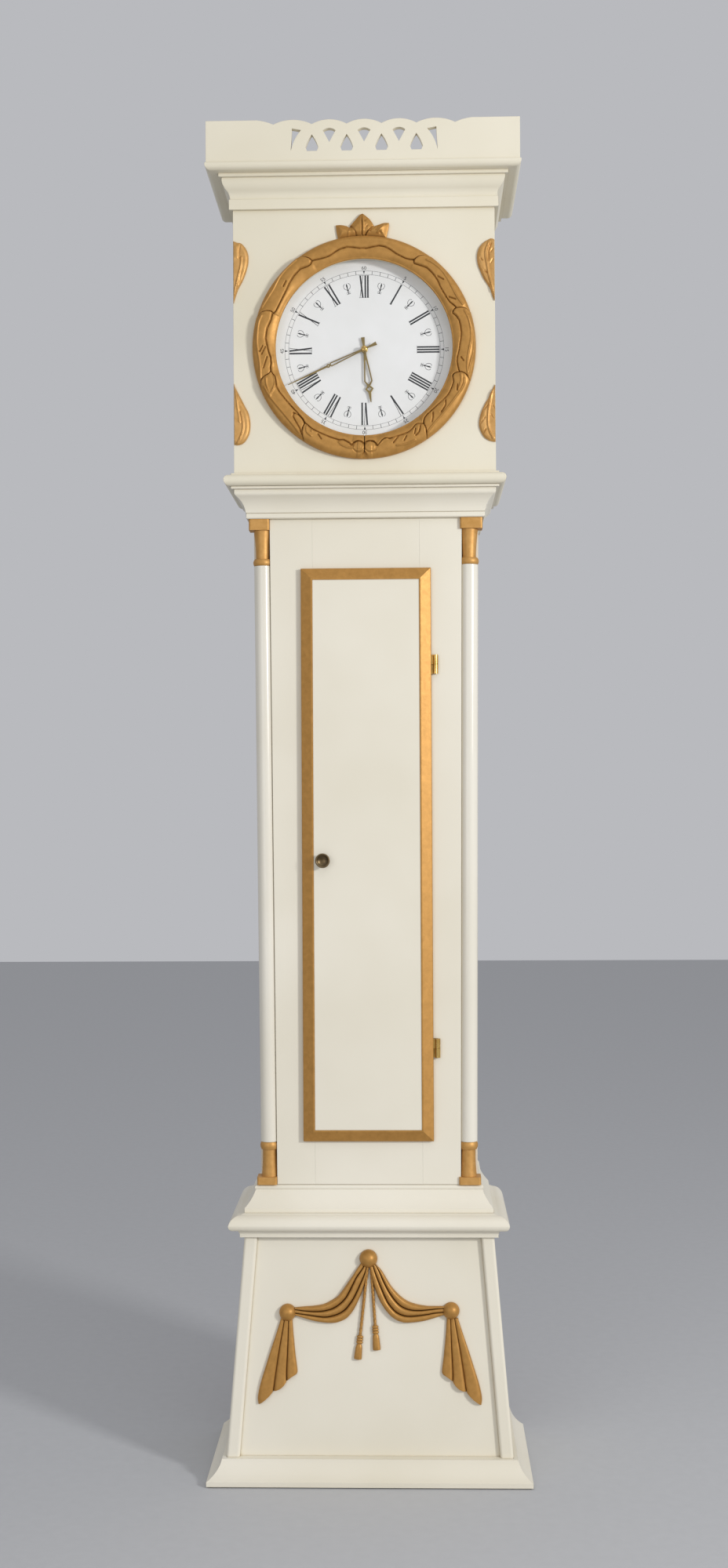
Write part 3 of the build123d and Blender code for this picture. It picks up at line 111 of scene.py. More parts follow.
def stretched_noise(tree, position, along, across, run, detail=3.0, offset=(0.0, 0.0, 0.0)):
    """Noise whose features are about `across` metres wide and `run` metres long along one axis."""
    scale = [1 / across] * 3
    scale["XYZ".index(along)] = 1 / run
    mapped = add(tree, "ShaderNodeMapping", {"Vector": position, "Scale": scale, "Location": offset})
    grain = {"Vector": mapped, "Scale": 1.0, "Detail": detail, "Roughness": 0.55}
    return add(tree, "ShaderNodeTexNoise", grain)


def tint(tree, body, colour, mask, low, high, least=0.0, most=1.0):
    """Blends a colour over the body: from the least share at mask low to the most at mask high."""
    limits = {"From Min": low, "From Max": high, "To Min": least, "To Max": most}
    share = add(tree, "ShaderNodeMapRange", {"Value": mask, **limits})
    return add(tree, "ShaderNodeMix", {0: share, 6: body, 7: colour}, data_type="RGBA").outputs[2]


def surface(tree, body, rough, relief, strength, depth, edge=0.0, metallic=0.0, specular=0.5):
    """Ends a tree with its shader. The relief lies over corners rounded to the edge radius."""
    bump = {"Height": relief, "Strength": strength, "Distance": depth}
    if edge:
        bump["Normal"] = add(tree, "ShaderNodeBevel", {"Radius": edge}, samples=4)
    look = {"Base Color": body, "Roughness": rough, "Normal": add(tree, "ShaderNodeBump", bump)}
    look |= {"Metallic": metallic, "Specular IOR Level": specular}
    shader = add(tree, "ShaderNodeBsdfPrincipled", look)
    add(tree, "ShaderNodeOutputMaterial", {"Surface": shader})


print("material helpers ready")

# %% [markdown]
# ## Cream paint
#
# The boards are pine with two or three coats of semi-matt alkyd paint, laid off with a soft brush along the
# board. That leaves fine parallel ridges about a millimetre apart, slightly uneven gloss and edges that are
# rounded by the paint itself. The corners of the mouldings are painted a darker, yellower cream, which is
# partly paint that yellows where hands and polish don't reach and partly painted shade. Each joint gets a thin
# dark line, which is a painted shadow of the narrow gap. Ambient occlusion is low in a corner, so it is the
# mask for both. A brush pattern is a noise that is stretched along the board, so the function takes the
# direction of the strokes.

# %% Cream paint
def cream_paint(name, along, colour="#e8e2d2", shade="#dfd8c5", gloss=0.42, corner="#c3b38f", gap_shade="#8d7a5c"):
    material, tree, position = new_material(name)
    # Shades drift over about 300 mm, the yellowing and painted shade in the corners are mottled every 11 mm
    # and the gloss changes every 70 mm.
    cloud = add(tree, "ShaderNodeTexNoise", {"Vector": position, "Scale": 3.5, "Detail": 3.0})
    mottle = add(tree, "ShaderNodeTexNoise", {"Vector": position, "Scale": 90.0})
    sheen = add(tree, "ShaderNodeTexNoise", {"Vector": position, "Scale": 14.0, "Detail": 4.0})
    # Painted shade: a darker, yellower cream in the corners (together with the paint's own yellowing) and a
    # painted shadow line in each joint.
    nook = add(tree, "ShaderNodeAmbientOcclusion", {"Distance": 5 * MM}, samples=6).outputs["AO"]
    joint = add(tree, "ShaderNodeAmbientOcclusion", {"Distance": 1.2 * MM}, samples=6).outputs["AO"]
    patchy = add(tree, "ShaderNodeMath", {0: mottle, 1: 0.25}, operation="MULTIPLY")
    patchy_nook = add(tree, "ShaderNodeMath", {0: nook, 1: patchy}, operation="ADD")
    body = tint(tree, colour, shade, cloud, 0.35, 0.68)
    body = tint(tree, body, corner, patchy_nook, 0.40, 0.90, 0.6, 0.0)
    body = tint(tree, body, gap_shade, joint, 0.30, 0.62, 0.75, 0.0)
    limits = {"From Min": 0.3, "From Max": 0.7, "To Min": gloss - 0.05, "To Max": gloss + 0.07}
    rough = add(tree, "ShaderNodeMapRange", {"Value": sheen, **limits})
    strokes = stretched_noise(tree, position, along, 1.1 * MM, 70 * MM)
    surface(tree, body, rough, strokes, 0.16, 0.12 * MM, 1.0 * MM, specular=0.4)
    return material


paint_upright = cream_paint("cream_paint_upright_strokes", "Z")
paint_level = cream_paint("cream_paint_level_strokes", "X")
# The hood's cream is darker and warmer, which is painted shade for the dimmer light high on the clock.
hood_paint_upright = cream_paint("warm_cream_painted_shade_upright_strokes", "Z", "#e6dfcb", "#dcd4bd")
hood_paint_level = cream_paint("warm_cream_painted_shade_level_strokes", "X", "#e6dfcb", "#dcd4bd")
# The column and the stiles beside it get paler corner and gap colours, so less painted shade falls in the seam
# between them.
column_white = cream_paint("white_gloss_on_turned_pine", "Z", "#e4dfd2", "#ddd7c7", 0.2, "#ddd7c8", "#cbc3ae")
stile_paint = cream_paint("cream_paint_beside_columns", "Z", corner="#d3c9af", gap_shade="#b3a78b")

# %% [markdown]
# ## Gold bronze paint
#
# The carving is brushed with bronze powder in varnish. Each flake is a tiny mirror, but they lie at all
# angles under the varnish, so the paint looks half metal, half pigment, with a broad satin highlight.
# Varnish that settles in the cuts turns brown, and the ridges are rubbed bright. The brown in the cuts is
# partly that varnish and partly painted shade, made deeper to stand for the shadow in the grooves. Ambient
# occlusion finds the cuts, so the brown follows any carving without being painted by hand. The powder is drawn
# as grains of nearly a millimetre, since its real flakes are too fine to show.

# %% Gold bronze paint
def bronze_paint(name, light, middle, dark, rough=0.47, metal=0.48, varnish_and_shade_reach=2.6 * MM):
    material, tree, position = new_material(name)
    # The varnish pools in patches about 8 mm wide.
    pools = {"Vector": position, "Scale": 130.0, "Detail": 4.0, "Distortion": 0.4}
    flow = add(tree, "ShaderNodeTexNoise", pools)
    powder = add(tree, "ShaderNodeTexNoise", {"Vector": position, "Scale": 1 / (0.9 * MM), "Detail": 3.0})
    # Brown in the cuts: settled varnish and painted shade, both found by ambient occlusion.
    cuts = add(tree, "ShaderNodeAmbientOcclusion", {"Distance": varnish_and_shade_reach}, samples=8).outputs["AO"]
    body = tint(tree, middle, light, flow, 0.26, 0.76)
    body = tint(tree, body, dark, cuts, 0.30, 0.76, 0.85, 0.0)
    limits = {"From Min": 0.3, "From Max": 0.7, "To Min": rough - 0.06, "To Max": rough + 0.08}
    satin = add(tree, "ShaderNodeMapRange", {"Value": powder, **limits})
    surface(tree, body, satin, powder, 0.2, 0.10 * MM, 0.25 * MM, metal)
    return material


gold_paint = bronze_paint("gold_bronze_paint", "#bd8c48", "#aa7c3c", "#66421a")
# Painted highlight: the corner leaves and the turned capitals and bases get lighter copies of the gold. The
# turned ones also get a short reach, so less painted shade falls beside them.
highlight_gold = bronze_paint("gold_bronze_painted_highlight", "#d3a464", "#c1914f", "#70491f", 0.42)
turned_gold = bronze_paint("gold_bronze_on_turned_wood", "#cf9f5c", "#bd8c48", "#66421a", 0.5, 0.45, 0.7 * MM)

# %% [markdown]
# ## Bare pine, metals, enamel and glass
#
# Inside, the boards are bare pine that has turned honey brown: long grain streaks about three
# millimetres apart, with darker late wood. The wheels and plates are lacquered brass with fine turning
# or graining marks. The dial is sheet iron under white enamel paint. The thin glass is a clear layer
# that only adds reflection, because light must still pass to the dial.

# %% Bare pine
def bare_pine(name, along):
    material, tree, position = new_material(name)
    grain = stretched_noise(tree, position, along, 3.2 * MM, 260 * MM, 4.0)
    wide = stretched_noise(tree, position, along, 24 * MM, 600 * MM, 2.0, (3.1, 1.7, 0.4))
    body = tint(tree, "#c09a66", "#93693a", grain, 0.35, 0.7)
    body = tint(tree, body, "#7f5a31", wide, 0.4, 0.7, 0.0, 0.6)
    surface(tree, body, 0.62, grain, 0.3, 0.2 * MM)
    return material


pine_upright = bare_pine("bare_pine_upright_grain", "Z")
pine_level = bare_pine("bare_pine_level_grain", "X")


# %% Metals
def worked_metal(name, bright, dull, rough, along="X", line=0.5 * MM, strength=0.12):
    """A metal with fine marks from the lathe, file or graining stone along one axis."""
    material, tree, position = new_material(name)
    # Tarnish lies in patches about 20 mm wide and dulls the shine.
    tarnish = add(tree, "ShaderNodeTexNoise", {"Vector": position, "Scale": 45.0, "Detail": 5.0})
    body = tint(tree, bright, dull, tarnish, 0.35, 0.7)
    limits = {"From Min": 0.3, "From Max": 0.75, "To Min": rough - 0.04, "To Max": rough + 0.1}
    dulled = add(tree, "ShaderNodeMapRange", {"Value": tarnish, **limits})
    marks = stretched_noise(tree, position, along, line, 30 * MM)
    surface(tree, body, dulled, marks, strength, 0.05 * MM, metallic=1.0)
    return material


clock_brass = worked_metal("lacquered_brass", "#d6b36a", "#b58f4a", 0.26)
# The hands' brass is darker and duller than the movement's, which is a painted reflection of a dark room.
hand_brass = worked_metal("hand_brass", "#a38e5a", "#7f6e49", 0.36, "Z")
knob_brass = worked_metal("darkened_knob_brass", "#8d7a5c", "#54452f", 0.36)
polished_steel = worked_metal("polished_steel", "#c3c5c8", "#94979b", 0.22, "Z")
dark_iron = worked_metal("dark_cast_iron", "#4b4a48", "#333231", 0.55, "Z", 1.4 * MM, 0.5)


# %% Dial enamel and ink
def enamel(name, colour, shade, rough):
    """Stoved paint, a little clouded every 45 mm, with a faint orange peel."""
    material, tree, position = new_material(name)
    cloud = add(tree, "ShaderNodeTexNoise", {"Vector": position, "Scale": 22.0, "Detail": 3.0})
    peel = add(tree, "ShaderNodeTexNoise", {"Vector": position, "Scale": 1 / (1.6 * MM), "Detail": 1.0})
    surface(tree, tint(tree, colour, shade, cloud, 0.35, 0.7), rough, peel, 0.05, 0.04 * MM)
    return material


dial_white = enamel("white_dial_enamel", "#ebebe9", "#e6e6e3", 0.34)
print_black = enamel("black_printed_enamel", "#1b1c1f", "#26282b", 0.5)


# %% Glass
def thin_glass(name):
    """Window glass as a clear sheet. Its front face adds a reflection by Fresnel; its back face adds none."""
    material, tree, position = new_material(name)
    ripple = add(tree, "ShaderNodeTexNoise", {"Vector": position, "Scale": 9.0})  # about 110 mm wide
    bump = add(tree, "ShaderNodeBump", {"Height": ripple, "Strength": 0.02, "Distance": 1 * MM})
    shine = add(tree, "ShaderNodeBsdfGlossy", {"Color": "#ffffff", "Roughness": 0.03, "Normal": bump})
    clear = add(tree, "ShaderNodeBsdfTransparent", {"Color": "#ffffff"})
    back = add(tree, "ShaderNodeNewGeometry").outputs["Backfacing"]
    front = add(tree, "ShaderNodeMath", {0: 1.0, 1: back}, operation="SUBTRACT")
    fresnel = add(tree, "ShaderNodeFresnel", {"IOR": 1.5})
    share = add(tree, "ShaderNodeMath", {0: fresnel, 1: front}, operation="MULTIPLY")
    mixed = add(tree, "ShaderNodeMixShader", {0: share, 1: clear, 2: shine})
    add(tree, "ShaderNodeOutputMaterial", {"Surface": mixed})
    return material


old_glass = thin_glass("thin_window_glass")

# %% [markdown]
# ## Dress the CAD pieces
#
# The boards and mouldings already have the right shape, so each only takes its finish. The record says
# which material slot a node belongs to. Paint and pine also need a direction, which is the way the
# board was planed and brushed: upright for stiles and sides, level for rails and mouldings.

# %% Finishes for the CAD nodes
LEVEL = ("rails", "mouldings", "hood_base_frame", "cornice", "crown", "frieze", "base_floor", "seat_board")
finish_of = {  # one finish for a slot, or one for its upright pieces and one for its level ones
    "trunk_paint": (paint_upright, paint_level), "hood_paint": (hood_paint_upright, hood_paint_level),
    "bare_pine": (pine_upright, pine_level), "column_paint": [column_white], "gilding": [gold_paint],
    "dial_paint": [dial_white], "hand_metal": [hand_brass], "brass": [clock_brass],
    "steel": [polished_steel], "iron": [dark_iron], "knob_metal": [knob_brass], "glass": [old_glass],
}
own_finish = {"column_capitals": turned_gold, "column_bases": turned_gold,
              "trunk_stile_left": stile_paint, "trunk_stile_right": stile_paint}
slot_of = {row["node"]: row["material_slot"] for row in frame["record"]["subparts"]}
for node_name, node in frame["nodes"].items():
    level = any(word in node_name for word in LEVEL)
    finish = own_finish.get(node_name, finish_of[slot_of[node_name]][-1 if level else 0])
    for material_slot in node.material_slots:
        material_slot.material = finish
    if not node.material_slots:
        node.data.materials.append(finish)
print("dressed:", len(frame["nodes"]))

# %% [markdown]
# ## Making pieces in code
#
# Carving is a surface whose height changes, so it helps to have two ways to make one. A folded carving
# is a grid that runs along curved lines, such as the folds of cloth. An outline carving fills any flat
# outline with small triangles and lifts each point. Both get a flat back and side walls, so that every
# piece is a closed solid like the wood it stands for. Round work is a skin over rows of points.

# %% Placing pieces
def place(name, points, faces, body, slot, finish, replaced=(), smooth=40):
    """Makes a mesh object from points in metres, parents it to its body's empty (if one body) and hides the
    CAD nodes that it replaces.
    """
    mesh = bpy.data.meshes.new(name)
    mesh.from_pydata([tuple(p) for p in points], [], faces)
    mesh.materials.append(finish)
    mesh.validate()
    mesh.shade_smooth()
    mesh.set_sharp_from_angle(angle=radians(smooth))
    piece = bpy.data.objects.new(name, mesh)
    bpy.context.scene.collection.objects.link(piece)
    if body:
        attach(piece, body)
    if replaced:
        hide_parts(*replaced)
    print(name, "has", len(faces), "faces")
    return piece


def join_parts(parts):
    """Joins (points, faces) pairs into one pair."""
    points, faces = [], []
    for some_points, some_faces in parts:
        shift = len(points)
        points += list(some_points)
        faces += [tuple(k + shift for k in face) for face in some_faces]
    return points, faces


def mirror_part(part):
    """The same part on the other side of the clock, turned right side out."""
    points, faces = part
    return [(-p[0], p[1], p[2]) for p in points], [tuple(reversed(f)) for f in faces]


print("mirrored corner:", mirror_part(([(1, 2, 3)], []))[0][0])


# %% Solids and round work
def outward(points, faces):
    """Turns the faces of a closed solid outwards, which makes its signed volume positive."""
    p = np.array([tuple(q) for q in points])
    volume = sum(np.dot(p[f[0]], np.cross(p[f[k]], p[f[k + 1]])) for f in faces for k in range(1, len(f) - 1))
    return points, faces if volume > 0 else [tuple(reversed(f)) for f in faces]


def skin(rows, closed=False):
    """A skin over rows of points, each row a loop. closed joins the last row to the first."""
    sides, count = len(rows[0]), len(rows)
    faces = []
    for k in range(count if closed else count - 1):
        a, b = k * sides, (k + 1) % count * sides
        faces += [(a + i, b + i, b + (i + 1) % sides, a + (i + 1) % sides) for i in range(sides)]
    return [p for row in rows for p in row], faces


def round_row(centre, axis, radius, sides, beside, squash=1.0):
    """A circle of points round an axis, squashed at right angles to the beside direction."""
    side = (beside - axis * beside.dot(axis)).normalized()
    other = side.cross(axis) * squash
    return [centre + (side * cos(a) + other * sin(a)) * radius
            for a in (2 * pi * k / sides for k in range(sides))]


def turned_part(origin, direction, profile, sides=48, squash=1.0):
    """Lathe work: profile is (radius, distance along direction) in mm, from end to end."""
    axis = Vector(direction).normalized()
    spots = [Vector(origin) + axis * along * MM for radius, along in profile]
    points, faces = skin([round_row(spot, axis, radius * MM, sides, Vector((1, 0, 0)), squash)
                          for spot, (radius, along) in zip(spots, profile)])
    size = len(points)
    for k in range(sides):
        n = (k + 1) % sides
        faces += [(size, k, n), (size + 1, size - sides + n, size - sides + k)]
    return points + [spots[0], spots[-1]], faces


def tube(path, radius, sides, beside=(0, 1, 0), closed=False):
    """A round bar along a line of points, or round a closed loop of them."""
    rows, count = [], len(path)
    for i, p in enumerate(path):
        ahead, behind = (i + 1) % count, i - 1
        if not closed:
            ahead, behind = min(i + 1, count - 1), max(i - 1, 0)
        rows.append(round_row(p, (path[ahead] - path[behind]).normalized(), radius, sides, Vector(beside)))
    points, faces = skin(rows, closed)
    faces = [face[3:] + face[:3] for face in faces]  # splits each facet along its other diagonal
    if not closed:
        faces += [tuple(range(sides)), tuple(reversed(range(len(points) - sides, len(points))))]
    return points, faces


print("a bar of 8 sides has", len(tube([Vector((0, 0, 0)), Vector((0, 0, 1))], 0.1, 8)[1]), "faces")


# %% Lines
def smooth_line(corners, count):
    """Evenly spaced points on a smooth curve through the corners (Catmull-Rom)."""
    p = np.array(corners, float)
    p = np.vstack([2 * p[0] - p[1], p, 2 * p[-1] - p[-2]])
    fine = []
    for a, b, c, d in zip(p, p[1:], p[2:], p[3:]):
        for t in np.linspace(0, 1, 24, endpoint=False):
            fine.append(0.5 * (2 * b + (c - a) * t + (2 * a - 5 * b + 4 * c - d) * t ** 2
                               + (3 * b - a - 3 * c + d) * t ** 3))
    fine = np.array(fine + [p[-2]])
    run = np.concatenate([[0], np.cumsum(np.linalg.norm(np.diff(fine, axis=0), axis=1))])
    at = np.linspace(0, run[-1], count)
    return np.column_stack([np.interp(at, run, fine[:, k]) for k in range(fine.shape[1])])


def line_distance(points, line, closed=False):
    """Distance from each point (rows of x, z) to a line through corners."""
    starts = np.asarray(line, float)
    ends = np.roll(starts, -1, axis=0)
    if not closed:
        starts, ends = starts[:-1], ends[:-1]
    best = np.full(len(points), np.inf)
    for start, end in zip(starts, ends):
        run = end - start
        t = np.clip((points - start) @ run / max(run @ run, 1e-12), 0, 1)
        best = np.minimum(best, np.linalg.norm(points - start - t[:, None] * run, axis=1))
    return best


def inside(points, outline):
    """True for each point that lies within a closed outline."""
    odd = np.zeros(len(points), bool)
    for start, end in zip(outline, np.roll(outline, -1, axis=0)):
        crosses = (start[1] > points[:, 1]) != (end[1] > points[:, 1])
        rise = end[1] - start[1] or 1.0
        odd ^= crosses & (points[:, 0] < start[0] + (points[:, 1] - start[1]) * (end[0] - start[0]) / rise)
    return odd


def step(value, low, high):
    """Smooth change from 0 to 1 between low and high, of one value or of many."""
    t = np.clip((value - low) / (high - low), 0.0, 1.0)
    return t * t * (3 - 2 * t)


def ridge(distance, half):
    """1 on a line and fading to 0 over about its half width."""
    return np.exp(-(distance / half) ** 2)


def gouge_marks(points, marks):
    """Height added by the gouge. A mark is (height, half width, corners); a cut has a negative height."""
    added = np.zeros(len(points))
    for rise, half, corners in marks:
        line = smooth_line(corners, 5 * len(corners))
        near = ((points > line.min(0) - 3 * half) & (points < line.max(0) + 3 * half)).all(axis=1)
        added[near] += rise * ridge(line_distance(points[near], line), half)
    return added


print("a smooth line bulges to", smooth_line([(0, 0), (1, 1), (2, 1), (3, 0)], 9)[:, 1].max().round(3))


# %% Carvings
def folded_carving(lines, crowns, height, onto, count, rows):
    """Folds side by side between lines, with crowns along them. height(u, v) is in mm, and v counts folds."""
    lines = [smooth_line(line, count) for line in lines]
    grid, across = [], []
    for k, (first, last) in enumerate(zip(lines, lines[1:])):
        crown = smooth_line(crowns[k], count) if crowns else (first + last) / 2
        for w in np.linspace(0, 1, rows, endpoint=False):
            grid.append(first * (1 - w) * (1 - 2 * w) + crown * 4 * w * (1 - w) + last * w * (2 * w - 1))
            across.append(k + w)
    grid.append(lines[-1])
    across.append(len(lines) - 1)
    points = [onto(x, z, height(i / (count - 1), v) * layer)
              for layer in (1, 0) for line, v in zip(grid, across) for i, (x, z) in enumerate(line)]
    total, faces = count * len(grid), []
    for a in [j * count + i for j in range(len(grid) - 1) for i in range(count - 1)]:
        top = (a, a + 1, a + count + 1, a + count)
        faces += [top, tuple(total + k for k in reversed(top))]
    rim = list(range(count)) + [j * count + count - 1 for j in range(1, len(grid))]
    rim += [total - 1 - i for i in range(1, count)] + [j * count for j in range(len(grid) - 2, 0, -1)]
    faces += [(b, a, total + a, total + b) for a, b in zip(rim, rim[1:] + rim[:1])]
    return outward(points, faces)


def outline_carving(outline, height, onto, spacing):
    """Fills an outline with small triangles. height(points, distances to the edge) is in mm for each point."""
    low, high = outline.min(0), outline.max(0)
    grid = np.array([(x, z) for j, z in enumerate(np.arange(low[1], high[1], spacing * 0.87))
                     for x in np.arange(low[0] + (j % 2) * spacing / 2, high[0], spacing)])
    grid = grid[inside(grid, outline)]
    grid = grid[line_distance(grid, outline, True) > 0.55 * spacing]
    rim = [(i, (i + 1) % len(outline)) for i in range(len(outline))]
    corners = [Vector(p) for p in np.vstack([outline, grid])]
    found, _, triangles, *_ = delaunay_2d_cdt(corners, rim, [], 1, 1e-5)
    found = np.array([tuple(p) for p in found])
    heights = height(found, line_distance(found, outline, True))
    points = [onto(x, z, layer * h) for layer in (1, 0) for (x, z), h in zip(found, heights)]
    count, faces, used = len(found), [], set()
    for triangle in triangles:
        faces += [tuple(triangle), tuple(count + k for k in reversed(triangle))]
        used.update(zip(triangle, triangle[1:] + triangle[:1]))
    faces += [(b, a, count + a, count + b) for a, b in sorted(used) if (b, a) not in used]
    return outward(points, faces)


print("carving helpers ready")

# %% [markdown]
# ## Swag on the base
#
# The base carries a carved drapery: three balls, two festoons hung between them, two tails and a pair
# of cords with tassels. Drapery could be simulated, but this is wood that a carver cut into rounded
# ridges, so a folded carving with ridges and grooves is nearer the real thing. The panel leans back, so
# one function puts a point on it at a given height above the wood.

# %% The leaning panel
PANEL_Y0, PANEL_SLOPE = -88.36, 0.08  # y in mm at floor height, and its change with height
PANEL_OUT = Vector((0, -1, PANEL_SLOPE)).normalized()


def on_panel(x, z, h):
    """Metres of the point seen at x, z on the base panel, h mm above its face."""
    return Vector((x, PANEL_Y0 + PANEL_SLOPE * z, z)) * MM + PANEL_OUT * (h * MM)


print("the panel leans back by", round(1000 * PANEL_SLOPE), "mm per metre")

# %% Festoons
# Each runs from the middle ball to the outer one along its upper edge, two grooves and its lower edge.
festoon_left = [
    [(-9, 309), (-14, 302.4), (-18.8, 295.4), (-24.4, 286.8), (-31.6, 276.7), (-38.8, 266.6),
     (-45.9, 258), (-53.9, 253), (-65.1, 247.5), (-79.4, 244.8), (-94.5, 243.6), (-108, 242.3)],
    [(-6, 304), (-10.8, 296.4), (-18.8, 285.5), (-24.4, 274.7), (-30, 263.8), (-34.8, 256),
     (-42.7, 248.2), (-52.3, 242), (-62.6, 238.9), (-74.6, 237.3), (-90.5, 237.7), (-108, 239.9)],
    [(-3.5, 302), (-6, 292.6), (-10.8, 280.9), (-18.8, 263.8), (-24.4, 253.7), (-30, 246), (-34.8, 240.5),
     (-42.8, 235.1), (-52.3, 231.6), (-62.6, 229.6), (-74.6, 230.4), (-90.5, 232.6), (-108, 234.6)],
    [(-1.2, 302), (-2.1, 294.6), (-3.7, 286.9), (-7.7, 274.4), (-11.7, 262), (-17.3, 249.6),
     (-23.7, 237.9), (-31.7, 228.6), (-40.4, 223.6), (-50.8, 221), (-66.7, 221.6), (-82.6, 224.2),
     (-98.5, 228.8), (-108, 231.7)],
]
festoon_right = [
    [(8, 307), (11.1, 302), (17.9, 294.6), (24.6, 283.8), (30.9, 273.7), (38.8, 264.4), (48.3, 255.9),
     (57.8, 250.5), (70.5, 246.7), (83.2, 244.8), (94.3, 244.6), (108, 244.6)],
    [(6.5, 306), (10.4, 301.5), (15.1, 292.6), (19.8, 281.7), (25.3, 270.9), (30.9, 261.6), (37.2, 253.1),
     (44.3, 246.1), (53, 241.5), (62.5, 239.4), (74.4, 239.2), (86.3, 240.4), (98.2, 241.6), (108, 242)],
    [(4, 305), (6, 299.6), (9.5, 289.5), (13.5, 279.4), (17.4, 270.1), (22.1, 259.2), (26.8, 250),
     (33.2, 241.8), (39.5, 236.1), (48.2, 232.2), (57.7, 230.9), (70.4, 231.9), (82.3, 233.4),
     (94.2, 235.4), (108, 236.4)],
    [(0.4, 303), (0.8, 297), (3.9, 283), (7.8, 269.8), (12.6, 257.4), (18.1, 246.6), (26, 235.7),
     (33.1, 228.8), (40.2, 224.5), (48.1, 221.9), (54.5, 221.5), (66.4, 222.3), (78.3, 223.9),
     (90.2, 227), (98.9, 229.7), (108, 232.6)],
]


def fold_round(v):
    """Section of a carved fold: a flat crown that drops quickly into the grooves."""
    return sqrt(max(0.0, 1 - abs(2 * (v % 1) - 1) ** 2.6))


def festoon_height(u, v):
    """Three rounded folds that crowd together at both ends."""
    return 2.6 + (2.6 + 3.4 * sin(pi * min(max(u, 0.02), 0.98)) ** 0.7) * fold_round(v)


festoons = [folded_carving(lines, None, festoon_height, on_panel, 84, 14)
            for lines in (festoon_left, festoon_right)]
place("swag_festoons_carved", *join_parts(festoons), "case", "gilding", gold_paint, ["swag_festoons"])

# %% Tails
# The lines run from the gathered top to the stepped foot: outer edge, two grooves and inner edge.
tail_lines = [
    [(127.6, 228), (128.9, 223.4), (135.4, 203.2), (142.9, 181.3), (150.4, 157.5), (157, 136.5),
     (161, 117), (160, 106.4)],
    [(122.6, 228), (124.2, 217.6), (130.6, 181), (135.2, 150), (138.8, 125.4)],
    [(116.8, 228), (117, 217.6), (117.8, 190), (119.4, 154), (119.4, 139.6)],
    [(111.4, 228), (111.2, 221.6), (109.8, 203.3), (107, 176), (104.2, 154), (105.4, 149)],
]
tail_crowns = [
    [(125.2, 228), (126.6, 220), (137, 181), (146.6, 146), (147.8, 115.2)],
    [(119.8, 228), (120.6, 217.6), (124.4, 181), (127.6, 150), (127.4, 129.6)],
    [(114.2, 228), (114.1, 220), (113.6, 190), (112.2, 160), (112.4, 145.2)],
]


def tail_height(u, v):
    """Pleats that lap outwards: each rises to its crown and falls steeply behind it."""
    lean = (v % 1) if v < 3 else 1.0
    return 2.4 + (2.4 + 2.6 * u) * fold_round(v) * (0.72 + 0.28 * (1 - lean))


tail = folded_carving(tail_lines, tail_crowns, tail_height, on_panel, 64, 14)
place("swag_tails_carved", *join_parts([tail, mirror_part(tail)]), "case", "gilding", gold_paint,
      ["swag_drops"])

# %% Balls and tassels
BALLS = [(-1.2, 311.6, 12.9), (-118.3, 235.4, 12.1), (117.8, 238.2, 12.1)]  # x, z and radius
BALL_LIFT = 1.0  # of a ball's middle above the panel


def ball_profile(radius):
    """Most of a ball, cut flat behind."""
    flat = sqrt(radius ** 2 - BALL_LIFT ** 2)
    return [(flat, 0.0)] + [(radius * cos(a), BALL_LIFT + radius * sin(a))
                            for a in np.linspace(atan2(-BALL_LIFT, flat), pi / 2 - 0.02, 22)]


balls = join_parts([turned_part(on_panel(x, z, 0), PANEL_OUT, ball_profile(r)) for x, z, r in BALLS])
place("swag_balls", *balls, "case", "gilding", gold_paint, ["swag_bosses"])

TASSEL_HEAD = [(3.0, 0), (4.2, 0.7), (4.7, 1.9), (4.2, 3.1), (3.2, 3.7), (4.2, 4.3), (4.8, 5.6), (4.2, 6.9),
               (3.2, 7.5), (4.2, 8.1), (4.8, 9.5), (4.2, 10.9), (3.0, 11.8), (3.0, 12.8), (4.1, 13.9),
               (4.7, 18.0)]
CORD_TURNS, CORD_OFFSET, STRAND_RADIUS = 6, 0.5, 1.75


def tassel_parts(top, knot, length):
    """A cord of two twisted strands, a head of three turned rings and a skirt, half round."""
    start, end = on_panel(*top, 2.6), on_panel(*knot, 2.8)
    line, parts = end - start, []
    for strand in range(2):
        path = []
        for t in np.linspace(0, 1, 61):
            twist = 2 * pi * CORD_TURNS * t + pi * strand
            swing = Vector((cos(twist), 0, 0)) + PANEL_OUT * sin(twist)
            path.append(start + line * t + swing * CORD_OFFSET * MM)
        parts.append(tube(path, STRAND_RADIUS * MM, 12))
    skirt = [(5.3, length - 5), (5.5, length), (5.0, length + 0.4)]
    return parts + [turned_part(end, line, TASSEL_HEAD + skirt, 36, 0.62)]


tassels = tassel_parts((-2.6, 300), (-13.4, 203.3), 33) + tassel_parts((2.8, 298), (8.2, 217.3), 34)
place("swag_tassels_turned", *join_parts(tassels), "case", "gilding", gold_paint, ["swag_tassels"])

# %% [markdown]
# ## Corner leaves
#
# Four half leaves sit against the edges of the hood front. They were drawn and cut freehand, so no two
# have the same outline. Each has a rolled rim, a hollow blade and a raised midrib that runs to the tip,
# and a few short gouge cuts. An outline carving suits them: the height follows the distance to the rim,
# and every rib or cut is a line that adds to it or takes from it.

# %% Corner leaves
HOOD_FACE, HOOD_W = 1000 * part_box("hood_front")[0][1], 1000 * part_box("hood_front")[1][0]
DIAL_Z = 1000 * (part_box("dial")[0][2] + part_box("dial")[1][2]) / 2
print("hood front at", round(HOOD_FACE, 2), "half width", round(HOOD_W, 2), "dial centre", round(DIAL_Z, 2))

